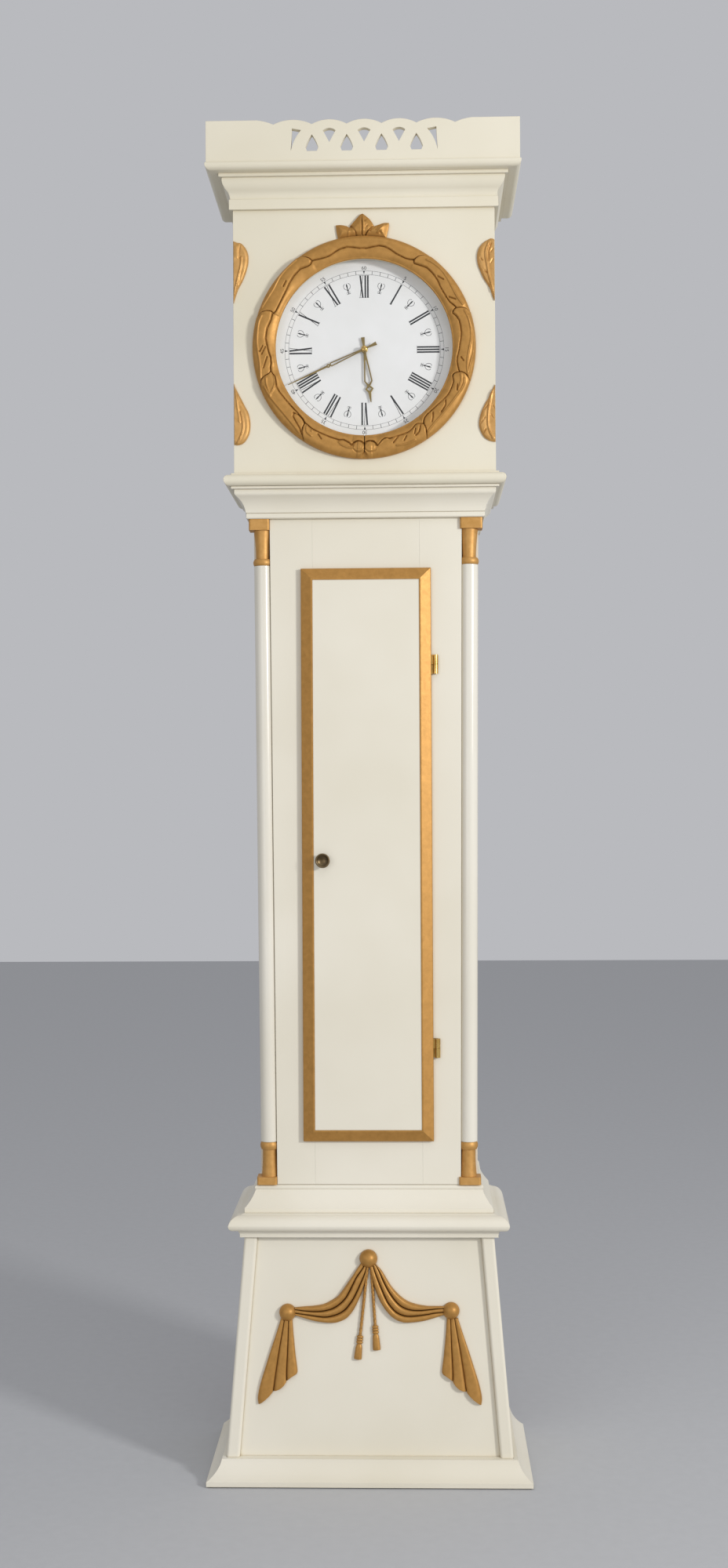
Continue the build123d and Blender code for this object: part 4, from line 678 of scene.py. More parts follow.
# Each leaf: its side, its outline and its gouge marks, in mm inwards from the hood's edge and up.
# The first mark is the midrib.
hood_leaves = [
    (-1,
     [(0.6, 1787.2), (6.1, 1785), (10.5, 1784.3), (14, 1782.1), (17.6, 1777.7), (20.4, 1772.6),
      (22.1, 1766.7), (22.4, 1760.9), (21.8, 1753.6), (19.9, 1745.7), (16.8, 1736.3), (12.9, 1727.6),
      (8.5, 1719.7), (5.5, 1712.5), (2.2, 1702.6), (0.6, 1697)],
     [(2.6, 1.4,
       [(12.6, 1762.5), (12.3, 1756.7), (11.6, 1749.4), (8.4, 1736.4), (4.9, 1721.9), (2.1, 1709.6)]),
      (1.3, 3.4, [(5, 1776), (5, 1769.9), (5.6, 1764)]), (-1.2, 1, [(10.5, 1780), (9.5, 1772), (9, 1762)])]),
    (-1,
     [(0.6, 1580.5), (1.9, 1575.5), (5.3, 1569.2), (8.3, 1563), (12.7, 1554.7), (16.8, 1546.4),
      (20.9, 1538.7), (23.1, 1530.4), (24, 1521.5), (23.5, 1512.5), (21.5, 1504.9), (17.7, 1498.1),
      (12.9, 1493.3), (7.3, 1491.3), (3.9, 1491.2), (0.6, 1492.4)],
     [(2.6, 1.4,
       [(10.8, 1538.1), (13.5, 1526.4), (14, 1516), (12.6, 1508.5), (9.5, 1500.9), (5.9, 1494.1)]),
      (1.7, 1.2,
       [(2.2, 1574.8), (3.9, 1565.8), (5.1, 1554.1), (6.4, 1542.3), (8.1, 1532.7), (8.6, 1524.4)])]),
    (1,
     [(0.6, 1784.6), (3, 1785.8), (5.9, 1786.2), (11.1, 1783.7), (17.2, 1779.6), (22.2, 1773.6),
      (24.8, 1766.9), (25.6, 1758.6), (24.3, 1748.8), (20.7, 1739), (16.4, 1729.1), (11.2, 1720.8),
      (7.2, 1714), (4.6, 1706.4), (2.5, 1700.1), (0.6, 1696.6)],
     [(2.6, 1.4,
       [(8.2, 1781), (12.5, 1769.7), (13.4, 1760.7), (11.9, 1750.9), (10.2, 1741.1), (8.9, 1732.1),
        (6.6, 1724.5), (4.9, 1717.7), (3.1, 1709.4)]),
      (-1.4, 1.2, [(5.9, 1777.9), (8.3, 1772.7), (9.5, 1767.4), (9.6, 1754.6)]),
      (-1.5, 0.8, [(20.8, 1757.8), (18.2, 1754)]), (-1.5, 0.8, [(15.5, 1739.7), (11.7, 1735.9)]),
      (-1.2, 0.8, [(3.1, 1771.1), (6.5, 1765.9)]), (-1.2, 0.8, [(2.9, 1756.1), (6.3, 1750.1)])]),
    (1,
     [(0.6, 1575), (3.2, 1570.4), (5.1, 1567), (7.9, 1562.3), (10.6, 1554.7), (13.4, 1550.7),
      (17, 1543.8), (20.4, 1536.3), (22.9, 1527.4), (24.1, 1519.2), (23.1, 1511.6), (20, 1504),
      (16.1, 1498.5), (9.9, 1494.3), (5.8, 1492.9), (0.6, 1492.1)],
     [(2.6, 1.4,
       [(4.4, 1567), (7.6, 1553.3), (10.2, 1539.6), (11.3, 1527.3), (11, 1514.9), (8.4, 1505.3),
        (4, 1496.3)]),
      (-1.5, 0.8, [(11.8, 1544.5), (17, 1539)]), (-1.5, 0.8, [(15.4, 1527.3), (21.6, 1519.1)]),
      (-1.5, 0.8, [(14.5, 1510.1), (18.7, 1504)]), (-1.1, 0.8, [(4.6, 1545.1), (3, 1540.9)]),
      (-1.1, 0.8, [(6.8, 1531.3), (3.7, 1525.8)])]),
]


def hood_leaf(side, outline, marks):
    """One half leaf, swelling from a rolled rim to a hollow blade with its midrib."""
    rim = smooth_line(outline, 110)
    midrib = smooth_line(marks[0][2], 40)

    def height(points, edge):
        free = line_distance(points, rim)
        blade = 2.0 + 3.4 * step(free, 0, 5) + 1.1 * ridge(free - 1.9, 1.1)
        return blade - 1.2 * ridge(line_distance(points, midrib), 3.4) + gouge_marks(points, marks)

    def onto(inward, z, h):
        return Vector((side * (HOOD_W - inward), HOOD_FACE - h, z)) * MM
    return outline_carving(rim, height, onto, 0.9)


leaves = join_parts([hood_leaf(*leaf) for leaf in hood_leaves])
# The leaves take the lighter gold, a painted highlight.
place("corner_leaves_carved", *leaves, "hood", "gilding", highlight_gold, ["corner_leaves"], 60)

# %% [markdown]
# ## Bezel garland
#
# The ring round the dial is turned first and then carved. Inside a wavy cut line it is a plain hollow
# that falls towards the glass. Outside the line lies a garland of long leaves: it starts in a plain
# band under the crest, laps over itself four times on each side and ends in two curls at the bottom.
# The surface is one height for each angle and radius, so a polar grid with a height for every point
# gives cuts, ribs and overlaps in one closed mesh. The two sides were cut by hand and differ.

# %% Lines of the garland
# All lines are (degrees from the top, radius in mm). line: the wavy cut. laps: where a leaf starts.
garland_right = {
    "line": [(0, 141.5), (1.7, 141.1), (4.8, 143.4), (8.8, 146.4), (11.9, 146.4), (15.2, 144.3),
             (19.5, 140.7), (22.4, 139.9), (25.4, 139.5), (28.1, 140.8), (30.3, 143.1), (31.6, 139),
             (33.2, 140.1), (36.4, 142.3), (39.1, 144.2), (42.5, 143.9), (45.9, 142.8), (48.6, 141.6),
             (52.5, 138.7), (56.9, 137.6), (60, 137.5), (63.3, 138.3), (66, 141.6), (67.7, 143.2),
             (69, 137.5), (70.1, 136.1), (72.5, 139.6), (75.3, 141.7), (78.5, 141.7), (82.2, 141.4),
             (85.9, 139.8), (88.5, 138.2), (92.8, 136.9), (97.4, 135), (100.1, 135.7), (102.7, 138),
             (104.6, 140.5), (105.8, 142), (107.3, 136.3), (108.7, 134.6), (109.7, 135.4), (112.1, 138.9),
             (114.3, 139.7), (117.1, 140.2), (120.4, 140.2), (123.6, 138.8), (127.1, 136.8),
             (130.7, 135.4), (134.4, 134.5), (137.7, 134.1), (140.4, 135.4), (142, 138.1), (143, 141),
             (144.2, 139.5), (145.8, 136.2), (147.7, 136.2), (150.2, 138.6), (153, 140.1), (156.4, 139.6),
             (160.3, 138.6), (164.8, 138.4), (166.3, 136.8), (167.9, 136.5), (169.8, 138.9),
             (171.7, 143.4), (172.8, 144.6), (173.4, 140.8), (174.6, 137.8), (177.3, 136.9), (179.2, 138),
             (180, 140)],
    "laps": [[(31.6, 139), (30.6, 141.7), (30.8, 144.9), (31.7, 150.8), (33.4, 155.7), (35.5, 158.9),
              (36.8, 161.2)],
             [(70.1, 136), (68.5, 139), (68.2, 142.8), (69, 149.6), (70.3, 156.6), (71.5, 158.9),
              (72.5, 161.2)],
             [(109.5, 135), (107.3, 136.3), (106, 140.7), (105.6, 145.8), (106.1, 151.6), (107.3, 156.6),
              (108.8, 161.2)],
             [(142.2, 138), (143, 141), (143.2, 144.1), (143.5, 148.3), (144.5, 152.9), (145.5, 158),
              (146.4, 161.2)]],
    "ridges": [[(71.3, 152.9), (75.6, 154.8), (81.1, 155.6), (86.3, 154.6), (90.5, 152.3), (96.2, 150.5),
                (101.1, 151.1), (106.2, 155.6)],
               [(74.3, 156.5), (81.7, 158), (87.4, 158.3), (94, 157.8), (100.3, 155.3), (104.7, 155.9)],
               [(107.3, 145.7), (110.1, 148.8), (113.1, 149.8), (115.8, 150.1)],
               [(108.6, 152.2), (111.4, 154.2), (115.2, 153.6), (119.3, 151.9), (124.2, 150.7),
                (129.8, 150.3), (135.7, 150.5), (140.2, 152), (143.7, 154.4)],
               [(36.6, 152.6), (41, 154.8), (46, 155.4), (51.5, 154), (57, 151.8), (63, 151.2),
                (67.6, 153.6)],
               [(152.1, 155.2), (155.2, 154.6), (158.2, 153.9), (162.1, 151.4)],
               [(166.3, 137.4), (168.7, 138.8), (171.7, 144)]],
    "cuts": [[(99, 144.9), (97.1, 140.4)], [(113.2, 145.7), (116, 148.7)],
             [(124.2, 141.3), (126.3, 145), (128.5, 146.1), (131.2, 146.8)],
             [(134.4, 138.2), (136.4, 143.2), (138.6, 147.1)],
             [(144.9, 140.1), (146.6, 145), (148.3, 148.3), (150.4, 149.6)],
             [(148.6, 141), (150.5, 146.4)], [(155.2, 143.9), (157.4, 148.5)],
             [(160, 140.2), (163.5, 146.1)], [(60.5, 141), (63.4, 147.5)], [(47, 145.6), (50.5, 148.6)]],
}
garland_left = {
    "line": [(0, 141.5), (2.2, 141.3), (5.8, 143.4), (9.3, 145.3), (13.1, 144.7), (15.3, 143.5),
             (18.4, 141.1), (20.8, 139.8), (23.6, 140), (26.8, 141.6), (29.4, 143.6), (31, 144.5),
             (32.4, 142), (33, 141.5), (34.8, 141.6), (37, 143.1), (39.1, 144.9), (44.3, 143.7),
             (49.2, 141.4), (54.3, 138.4), (59.1, 137.1), (63.9, 136.7), (67.5, 137.1), (69.5, 138.8),
             (69.8, 140.6), (73.6, 139.7), (79.3, 142.4), (84.6, 142.5), (88.7, 140), (93.1, 137.6),
             (95.9, 135.6), (99.8, 136), (102, 138), (104.5, 138.8), (106.5, 137.5), (108.2, 135.8),
             (111.5, 137.2), (114.5, 139), (118, 138.5), (123.2, 136.8), (128.8, 135.6), (134.6, 135.3),
             (139.7, 136.8), (142.1, 139.6), (142.6, 139.5), (147.5, 140.8), (153.4, 140.1),
             (159.2, 139.8), (164.7, 139.7), (167.3, 137.9), (170.8, 140.6), (172.6, 143.9),
             (173.4, 139.8), (175.5, 137), (177.9, 137.5), (179.3, 140.3), (180, 141)],
    "laps": [[(33, 141.5), (31.7, 142.7), (31, 144.5), (31.6, 149.4), (33.1, 155.1), (34.5, 158.6),
              (36.8, 161.2)],
             [(70.5, 137.3), (69.4, 139.6), (68.9, 144.2), (69.6, 150.5), (71, 156), (72.8, 158.3),
              (74, 161.2)],
             [(104.5, 138.8), (105.7, 142.9), (106.4, 150.3), (107.6, 155.3), (109, 158), (111, 160.1),
              (112, 161.2)],
             [(142.1, 139.6), (142.6, 145.3), (143.8, 151.8), (145.4, 156.7), (146.7, 159.3),
              (147.5, 161.2)]],
    "ridges": [[(38, 158.6), (42.4, 158.6), (46.3, 158.6), (51, 157.7), (56.3, 155.3), (60.8, 155.5),
                (65.2, 156.7), (68.6, 158.5)],
               [(73.1, 154.3), (76.7, 155.7), (81.6, 155.2), (87.3, 154.5), (92.6, 153.1), (96.7, 152.2),
                (101.6, 153), (107.2, 156.4)],
               [(107.7, 148.6), (110.6, 150.5), (114.2, 151.7), (117.4, 152.2)],
               [(108.2, 136.7), (111.5, 138.1), (114.5, 143.5), (116.6, 150.4)],
               [(112, 155), (118, 153.6), (125, 151.4), (132, 151), (138, 152.6), (142.6, 155.4)],
               [(143.8, 139), (144.9, 145), (146.6, 149.2), (149.2, 150.3)],
               [(145.1, 136.7), (147.2, 139.7), (148.3, 144.1)],
               [(165.1, 143.4), (167, 146.3), (170.2, 148), (173.8, 148.2)]],
    "cuts": [[(49.7, 147.1), (53, 145.4)], [(89.3, 146.5), (92.2, 150.6)], [(89.8, 142.6), (93.9, 148.2)],
             [(95.7, 140.8), (101.5, 148.3)],
             [(132.8, 140), (135.8, 136.3), (139.7, 136.8), (142.1, 139.6)],
             [(133.5, 139.9), (134.3, 143.6), (137.5, 146.5), (141.3, 150.1), (144.3, 154.7)],
             [(152, 143), (155, 147.6)]],
}
print("garland lines:", {side: {name: len(lines) for name, lines in cut.items()}
                         for side, cut in (("right", garland_right), ("left", garland_left))})


# %% Bezel ring
RING_IN, RING_OUT, RING_BACK = 127.6, 161.2, 131.6  # radii of the front's edges and the back's inner edge
CURL_AT, CURL_RADIUS = (176.7, 145.3), 8.4  # the curl that ends each side
BAND_END = (18, 31)  # degrees over which the plain band under the crest sinks into the first leaf
GARLAND_END = 176.0  # degrees where the last leaf of a side ends


def polar(corners):
    """(degrees, radius) pairs as flat points about the dial's middle."""
    return [(r * sin(radians(a)), r * cos(radians(a))) for a, r in corners]


def garland_height(cut, a, r):
    """Height above the hood face in mm, at angles from the top (degrees) and radii (mm) of one side."""
    flat = np.column_stack([r * np.sin(np.radians(a)), r * np.cos(np.radians(a))])
    line = np.interp(a, *zip(*cut["line"]))
    hollow = np.clip((r - RING_IN) / (line - RING_IN), 0, 1)
    plain = 5.4 + 6.2 * np.sin(pi / 2 * hollow) ** 0.9 + 0.9 * ridge(r - RING_IN - 0.9, 0.7)
    across = (r - line) / (RING_OUT - line)
    leaf = 4.2 + 8.8 * np.sqrt(np.clip(1 - np.abs((across - 0.40) / 0.62) ** 2.2, 0, 1))
    starts = [np.interp(r, *zip(*[(radius, angle) for angle, radius in lap])) for lap in cut["laps"]]
    for start, end in zip(starts, starts[1:] + [np.full(len(r), GARLAND_END)]):
        along = (a - start) / (end - start)
        leaf += np.where((along >= 0) & (along < 1), 2.8 * np.clip(1 - along, 0, 1) ** 1.3 - 1.0, 0)
        leaf -= 1.7 * ridge((a - start) * np.radians(r), 0.9)
    leaf -= np.where(a < starts[0], 0.8 * step(a, *BAND_END), 0)
    leaf += gouge_marks(flat, [(1.7, 1.15, polar(rise)) for rise in cut["ridges"]]
                        + [(-2.1, 0.9, polar(groove)) for groove in cut["cuts"]])
    h = np.where(r < line, plain, leaf) - 1.7 * ridge(line_distance(flat, polar(cut["line"])), 0.9)
    curl = np.hypot(*(flat - polar([CURL_AT])[0]).T)
    h += 1.6 * np.sqrt(np.clip(1 - (curl / CURL_RADIUS) ** 2, 0, 1))
    h -= 0.8 * ridge(curl - CURL_RADIUS, 1.0) + 0.3 * ridge(curl - CURL_RADIUS / 2, 0.8)
    notch = (180 - a) * np.radians(r) / np.maximum(0.55 * (r - 150.5), 0.3)
    return h - 4.5 * np.exp(-notch ** 4)


def ring_parts(sectors=1320, rows=72):
    """The carved ring as a closed mesh: its carved front, its outer wall and its flat back."""
    radii = np.linspace(RING_IN, RING_OUT, rows)
    a, r = [grid.ravel() for grid in np.meshgrid(np.arange(sectors) * 360 / sectors, radii, indexing="ij")]
    right = a <= 180
    h = np.empty(len(a))
    h[right] = garland_height(garland_right, a[right], r[right])
    h[~right] = garland_height(garland_left, 360 - a[~right], r[~right])
    print("ring heights:", round(h.min(), 1), "to", round(h.max(), 1), "mm")
    loops = []
    for k, heights in enumerate(h.reshape(sectors, rows)):
        across, up = sin(2 * pi * k / sectors), cos(2 * pi * k / sectors)
        section = [*zip(radii, heights), (RING_OUT, 0.0), (RING_BACK, 0.0)]
        loops.append([Vector((radius * across, HOOD_FACE - high, DIAL_Z + radius * up)) * MM
                      for radius, high in section])
    return skin(loops, closed=True)


place("bezel_garland", *ring_parts(), "hood", "gilding", gold_paint, ["bezel_ring"], 60)

# %% [markdown]
# ## Crest
#
# Three pointed leaves fan out above the ring. They are one piece of wood: the left leaf lies lowest, the
# middle one stands over it and the right one laps over both. The outline is the outer edge of all three,
# and the laps are steps in height, each with a deep cut beside it.

# %% Crest palmette
crest_edges = [
    [(-36.6, 1784), (-37.4, 1790.6), (-39, 1798.9), (-40, 1808.1)],
    [(-40, 1808.1), (-32.7, 1808.4), (-26.1, 1807.1), (-20.7, 1804.9)],
    [(-20.7, 1804.9), (-14.4, 1811.9), (-9.4, 1817.7), (-5.2, 1822.2), (-1.4, 1824.3)],
    [(-1.4, 1824.3), (3.1, 1820.9), (8.9, 1815.8), (13, 1809.9), (15.5, 1804.9)],
    [(15.5, 1804.9), (22.2, 1807.2), (29.7, 1809.6), (37, 1809.5)],
    [(37, 1809.5), (36.3, 1802.9), (34.6, 1796.2), (33.3, 1789.6), (32.8, 1784)],
]
CREST_FOOT = 160.6  # radius of the foot, which follows the ring
crest_foot = [(CREST_FOOT * sin(a), DIAL_Z + CREST_FOOT * cos(a)) for a in np.linspace(0.205, -0.23, 22)]
crest_rim = np.vstack([smooth_line(edge, 20)[:-1] for edge in crest_edges] + [crest_foot])
left_lap = [(-9, 1784), (-10, 1791), (-11.7, 1797.5), (-17.1, 1805.7)]
right_lap = [(3, 1784), (4, 1791), (6.8, 1796.2), (14.3, 1805)]
crest_marks = [
    (1.6, 1.2, [(-0.4, 1822.1), (0, 1806.4), (-0.4, 1793)]),
    (-1.6, 0.8, [(-2.3, 1819), (-1.9, 1806.4), (-2.2, 1794)]),
    (-1.3, 0.8, [(3.4, 1816), (1.9, 1812)]), (-1.3, 0.8, [(6.1, 1806.4), (4.1, 1803.7)]),
    (1.4, 1.2, [(-19.9, 1800.9), (-21.2, 1796.8), (-22, 1790)]), (-1.5, 0.8, left_lap + [(-20.7, 1804.9)]),
    (-1.7, 0.8, [(2, 1784), (2.9, 1791), (5.8, 1796.8), (13, 1805.4)]), (1.2, 1.1, right_lap),
    (-1.2, 0.8, [(15, 1805.7), (9.5, 1796.8)]), (1.5, 1.2, [(30.1, 1806.4), (20.5, 1795.5)]),
    (-1, 0.8, [(19.8, 1803), (16.5, 1798.5)]), (-1.6, 1.4, [(23.9, 1796.2), (24.6, 1794.6)]),
]


def crest_height(points, edge):
    x, z = points.T
    left = x < np.interp(z, *zip(*[(up, at) for at, up in left_lap + [(-25, 1806.6)]]))
    right = x > np.interp(z, *zip(*[(up, at) for at, up in right_lap + [(15.5, 1806)]]))
    return 3.4 + 5.4 * step(edge, -2, 9) - 1.5 * left + 1.5 * right + gouge_marks(points, crest_marks)


crest = outline_carving(crest_rim, crest_height, lambda x, z, h: Vector((x, HOOD_FACE - h, z)) * MM, 0.8)
place("bezel_crest_carved", *crest, "hood", "gilding", gold_paint, ["bezel_crest"], 60)

# %% [markdown]
# ## Dial print
#
# The numerals and the minute ring are printed in black on the enamel. Print is a film, so each mark is
# a flat slab a few hundredths of a millimetre thick, made from strokes: bars for I, a thick and a thin
# leg for V and X, and fine serifs. Every mark has its top turned outwards, and the middle is left bare.

# %% Stroke helpers
DIAL_FACE = 1000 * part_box("dial")[0][1]
PRINT = 0.06  # thickness of the ink


def at_dial(angle, t, r):
    """Dial point at a radius, moved t mm clockwise, for a mark that stands at this angle in degrees."""
    a = radians(angle)
    return (r * sin(a) + t * cos(a), r * cos(a) - t * sin(a))


def mark(angle, corners):
    """A flat printed shape from its (t, r) corners."""
    corners = [at_dial(angle, t, r) for t, r in corners]
    area = sum(a[0] * b[1] - b[0] * a[1] for a, b in zip(corners, corners[1:] + corners[:1]))
    if area > 0:
        corners = corners[::-1]
    n = len(corners)
    points = [Vector((x, DIAL_FACE - d, DIAL_Z + z)) * MM for d in (PRINT, 0) for x, z in corners]
    faces = [tuple(reversed(range(n))), tuple(range(n, 2 * n))]
    faces += [(k, (k + 1) % n, n + (k + 1) % n, n + k) for k in range(n)]
    return points, faces


def stroke(angle, start, end, wide):
    """A straight stroke between two (t, r) points of a mark."""
    (t0, r0), (t1, r1) = start, end
    half = wide / 2 / hypot(t1 - t0, r1 - r0)
    t, r = (r1 - r0) * half, (t0 - t1) * half
    return mark(angle, [(t0 + t, r0 + r), (t1 + t, r1 + r), (t1 - t, r1 - r), (t0 - t, r0 - r)])


def curve_stroke(angle, corners, wide):
    """A thin curved line through (t, r) points, as a chain of short strokes."""
    line = smooth_line(corners, 9)
    return [stroke(angle, tuple(a), tuple(b), wide) for a, b in zip(line[:-1], line[1:])]


def ring_line(radius, wide, sides=240):
    """A printed circle."""
    section = ((-wide / 2, PRINT), (wide / 2, PRINT), (wide / 2, 0), (-wide / 2, 0))
    rows = []
    for a in (2 * pi * k / sides for k in range(sides)):
        rows.append([Vector(((radius + out) * sin(a), DIAL_FACE - d, DIAL_Z + (radius + out) * cos(a))) * MM
                     for out, d in section])
    return skin(rows, closed=True)


print("dial face at", round(DIAL_FACE, 2), "a stroke has", len(stroke(0, (0, 1), (0, 2), 1)[1]), "faces")

# %% Numerals
FOOT, HEAD, BAR, HAIR, SERIF, GAP = 76.6, 109.0, 2.3, 0.7, 0.35, 1.4
LETTER_WIDE = {"I": 2.3, "V": 6.0, "X": 6.0}
ROMAN = ["XII", "I", "II", "III", "IIII", "V", "VI", "VII", "VIII", "IX", "X", "XI"]


def numeral(angle, word):
    """One hour's numeral, centred on its angle."""
    total = sum(LETTER_WIDE[c] for c in word) + GAP * (len(word) - 1)
    t, marks = -total / 2, []
    for c in word:
        wide = LETTER_WIDE[c]
        left, right, middle = t + BAR / 2, t + wide - BAR / 2, t + wide / 2
        legs = {"I": [(middle, middle, BAR)], "X": [(left, right, BAR), (right + 0.4, left - 0.4, HAIR)],
                "V": [(left, middle + 0.4, BAR), (right + 0.5, middle + 0.7, HAIR)]}
        marks += [stroke(angle, (head, HEAD), (foot, FOOT), thick) for head, foot, thick in legs[c]]
        for r in ((HEAD,) if c == "V" else (FOOT, HEAD)):
            marks.append(stroke(angle, (t - 0.6, r), (t + wide + 0.6, r), SERIF))
        t += wide + GAP
    return marks


print_parts = []
for hour, word in enumerate(ROMAN):
    print_parts += numeral(30 * hour, word)
print("numeral strokes:", len(print_parts))

# %% Minute ring and half-hour lilies
MINUTE_IN, MINUTE_OUT, FIGURE_RADIUS, FIGURE_SIZE = 110.3, 115.7, 119.6, 7.4
print_parts += [ring_line(MINUTE_OUT, 0.35), ring_line(MINUTE_IN, 0.35)]
for minute in range(60):
    if minute % 5:
        print_parts.append(stroke(6 * minute, (0, MINUTE_IN), (0, MINUTE_OUT), 0.62))
    else:
        print_parts.append(mark(6 * minute, [(-1.5, MINUTE_OUT), (1.5, MINUTE_OUT), (0, MINUTE_IN + 0.5)]))


def lily(angle):
    """A small lily: a stem on a foot, a bulb at the waist, a bud and two open petals."""
    marks = [stroke(angle, (0, 85.2), (0, 90.2), 0.9), stroke(angle, (-2.6, 85.2), (2.6, 85.2), 0.7)]
    bulb = [(1.25 * sin(pi * k / 6), 90.2 + 1.25 * cos(pi * k / 6)) for k in range(12)]
    bud = [(0, 101.2), (1.1, 97.6), (0.5, 91.4), (-0.5, 91.4), (-1.1, 97.6)]
    marks += [mark(angle, bulb), mark(angle, bud)]
    for s in (-1, 1):
        petal = [(s * 0.6, 91.4), (s * 3.4, 92.8), (s * 4.9, 96.2), (s * 4.2, 99.4), (s * 2.2, 100.4)]
        marks += curve_stroke(angle, petal, 0.6)
        marks += curve_stroke(angle, [(s * 0.5, 86.9), (s * 1.8, 87.8), (s * 2.9, 86.8)], 0.45)
    return marks


for half in range(12):
    print_parts += lily(30 * half + 15)
place("dial_print", *join_parts(print_parts), "case", "dial_paint", print_black)


# %% Minute figures
def curve_mesh(curve):
    """Points and faces of a curve or a text, which isn't kept itself."""
    holder = bpy.data.objects.new(curve.name, curve)
    bpy.context.scene.collection.objects.link(holder)
    bpy.context.view_layer.update()
    mesh = bpy.data.meshes.new_from_object(holder)
    points, faces = [v.co.copy() for v in mesh.vertices], [tuple(p.vertices) for p in mesh.polygons]
    bpy.data.objects.remove(holder)
    bpy.data.meshes.remove(mesh)
    return points, faces


def figure(angle, word, radius, size):
    """Arabic figures, made from Blender's own font and laid on the dial."""
    text = bpy.data.curves.new("figure", "FONT")
    text.body, text.size, text.align_x, text.align_y = word, size, "CENTER", "CENTER"
    points, faces = curve_mesh(text)
    return [mark(angle, [(points[i].x, radius + points[i].y) for i in face]) for face in faces]


figures = []
for k in range(12):
    figures += figure(30 * k, str(5 * k or 60), FIGURE_RADIUS, FIGURE_SIZE)
place("minute_figures", *join_parts(figures), "case", "dial_paint", print_black)

# %% [markdown]
# ## Hands
#
# The hands are sawn from sheet brass: two thin strips that open into a long kite, close, and open again
# in a small lozenge under the tip. A two-dimensional curve with holes is the natural way to cut sheet,
# and its bevel gives the filed edge. The hour hand stands behind the minute hand, each on a turned
# collar, and a domed nut holds them. Both keep the places of the CAD hands.

# %% Sheet brass hands
HOUR_FRONT, MINUTE_FRONT, SHEET, FILED = -68.2, -72.6, 1.2, 0.15
HOUR_ANGLE, MINUTE_ANGLE = 173.0, 245.3


def loop(half):
    """A closed opening from its upper half."""
    return half + [(along, -across) for along, across in reversed(half[1:-1])]


def cut_hand(angle, half, holes, front):
    """Cuts a hand from sheet. half is one side of its outline, holes its openings; (along, across) in mm."""
    outline = half + [(along, -across) for along, across in reversed(half)]
    curve = bpy.data.curves.new("hand", "CURVE")
    curve.dimensions, curve.fill_mode = "2D", "BOTH"
    curve.extrude, curve.bevel_depth, curve.bevel_resolution = (SHEET / 2 - FILED) * MM, FILED * MM, 1
    for corners in [outline] + holes:
        spline = curve.splines.new("POLY")
        spline.points.add(len(corners) - 1)
        for point, (along, across) in zip(spline.points, corners):
            point.co = (across * MM, along * MM, 0, 1)
        spline.use_cyclic_u = True
    points, faces = curve_mesh(curve)
    turn = Matrix.Rotation(radians(90), 4, "X") @ Matrix.Rotation(-radians(angle), 4, "Z")
    return [Vector((0, front + SHEET / 2, DIAL_Z)) * MM + turn @ p for p in points], faces


def hand_hub(back, profile):
    """A turned collar or nut on the dial's axis. profile is (radius, distance towards the front) in mm."""
    return turned_part(Vector((0, back, DIAL_Z)) * MM, (0, -1, 0), profile, 40)


print("sheet", SHEET, "mm thick, hour hand at", HOUR_ANGLE, "degrees, minute hand at", MINUTE_ANGLE)

# %% The two hands and their nut
hour_half = [(-18, 2.6), (-7, 1.4), (0, 1.8), (9, 2.0), (46.3, 6.0), (53, 1.9), (57.6, 6.0), (62.6, 2.0),
             (76.6, 0.6)]
hour_holes = [loop([(14, 0), (17, 1.0), (46, 4.4), (51.6, 0)]), loop([(54.3, 0), (57.6, 3.6), (61, 0)])]
minute_half = [(-19.2, 2.5), (-7, 1.2), (0, 1.6), (8, 1.6), (53, 2.9), (55, 1.3), (56, 2.2), (57.6, 2.7),
               (59.2, 2.2), (60.2, 1.2), (85, 1.1), (121.8, 0.3)]
minute_holes = [loop([(13, 0), (16, 0.4), (52.5, 1.7), (53.9, 0)]), loop([(56.4, 0), (57.6, 1.2), (58.8, 0)])]
hour_hand = join_parts([cut_hand(HOUR_ANGLE, hour_half, hour_holes, HOUR_FRONT),
                        hand_hub(HOUR_FRONT + SHEET, [(4.6, 0), (5.0, 0.3), (5.0, 1.7), (4.5, 2.1)])])
place("hour_hand_brass", *hour_hand, "hour_pipe", "hand_metal", hand_brass, ["hour_hand"])
minute_hand = join_parts([cut_hand(MINUTE_ANGLE, minute_half, minute_holes, MINUTE_FRONT),
                          hand_hub(MINUTE_FRONT + SHEET, [(4.0, 0), (4.4, 0.3), (4.4, 1.7), (4.0, 2.0)])])
place("minute_hand_brass", *minute_hand, "centre_arbor", "hand_metal", hand_brass, ["minute_hand"])
nut_profile = [(3.6, 0), (4.4, 0.3), (4.5, 0.9), (4.1, 2.0), (3.0, 2.8), (1.7, 3.1)]
hand_nut = hand_hub(MINUTE_FRONT - 0.8, nut_profile)
place("hand_nut_domed", *hand_nut, "centre_arbor", "hand_metal", clock_brass)

# %% [markdown]
# ## Chains
#
# The weight hangs on a brass chain that passes over the sprocket and comes down again to a pull ring.
# A link is a small oval of wire, and every second one is turned a quarter. The real chains change length as
# the weight and the ring move, but here each chain is built where the CAD chain hangs and rides on no body.

# %% Chain links
PITCH, LINK_HALF, BEND, STRAIGHT, WIRE = 5.6, 1.35, 2.9, 0.55, 0.48


def link_parts(centre, turned):
    """One oval link of wire, standing upright: two bends with a short straight between them."""
    path = []
    for a in (2 * pi * k / 20 for k in range(20)):
        across, up = LINK_HALF * cos(a), BEND * sin(a) + (STRAIGHT if sin(a) > 0 else -STRAIGHT)
        path.append(centre + Vector((0, across, up) if turned else (across, 0, up)) * MM)
    return tube(path, WIRE * MM, 6, (1, 0, 0) if turned else (0, 1, 0), closed=True)


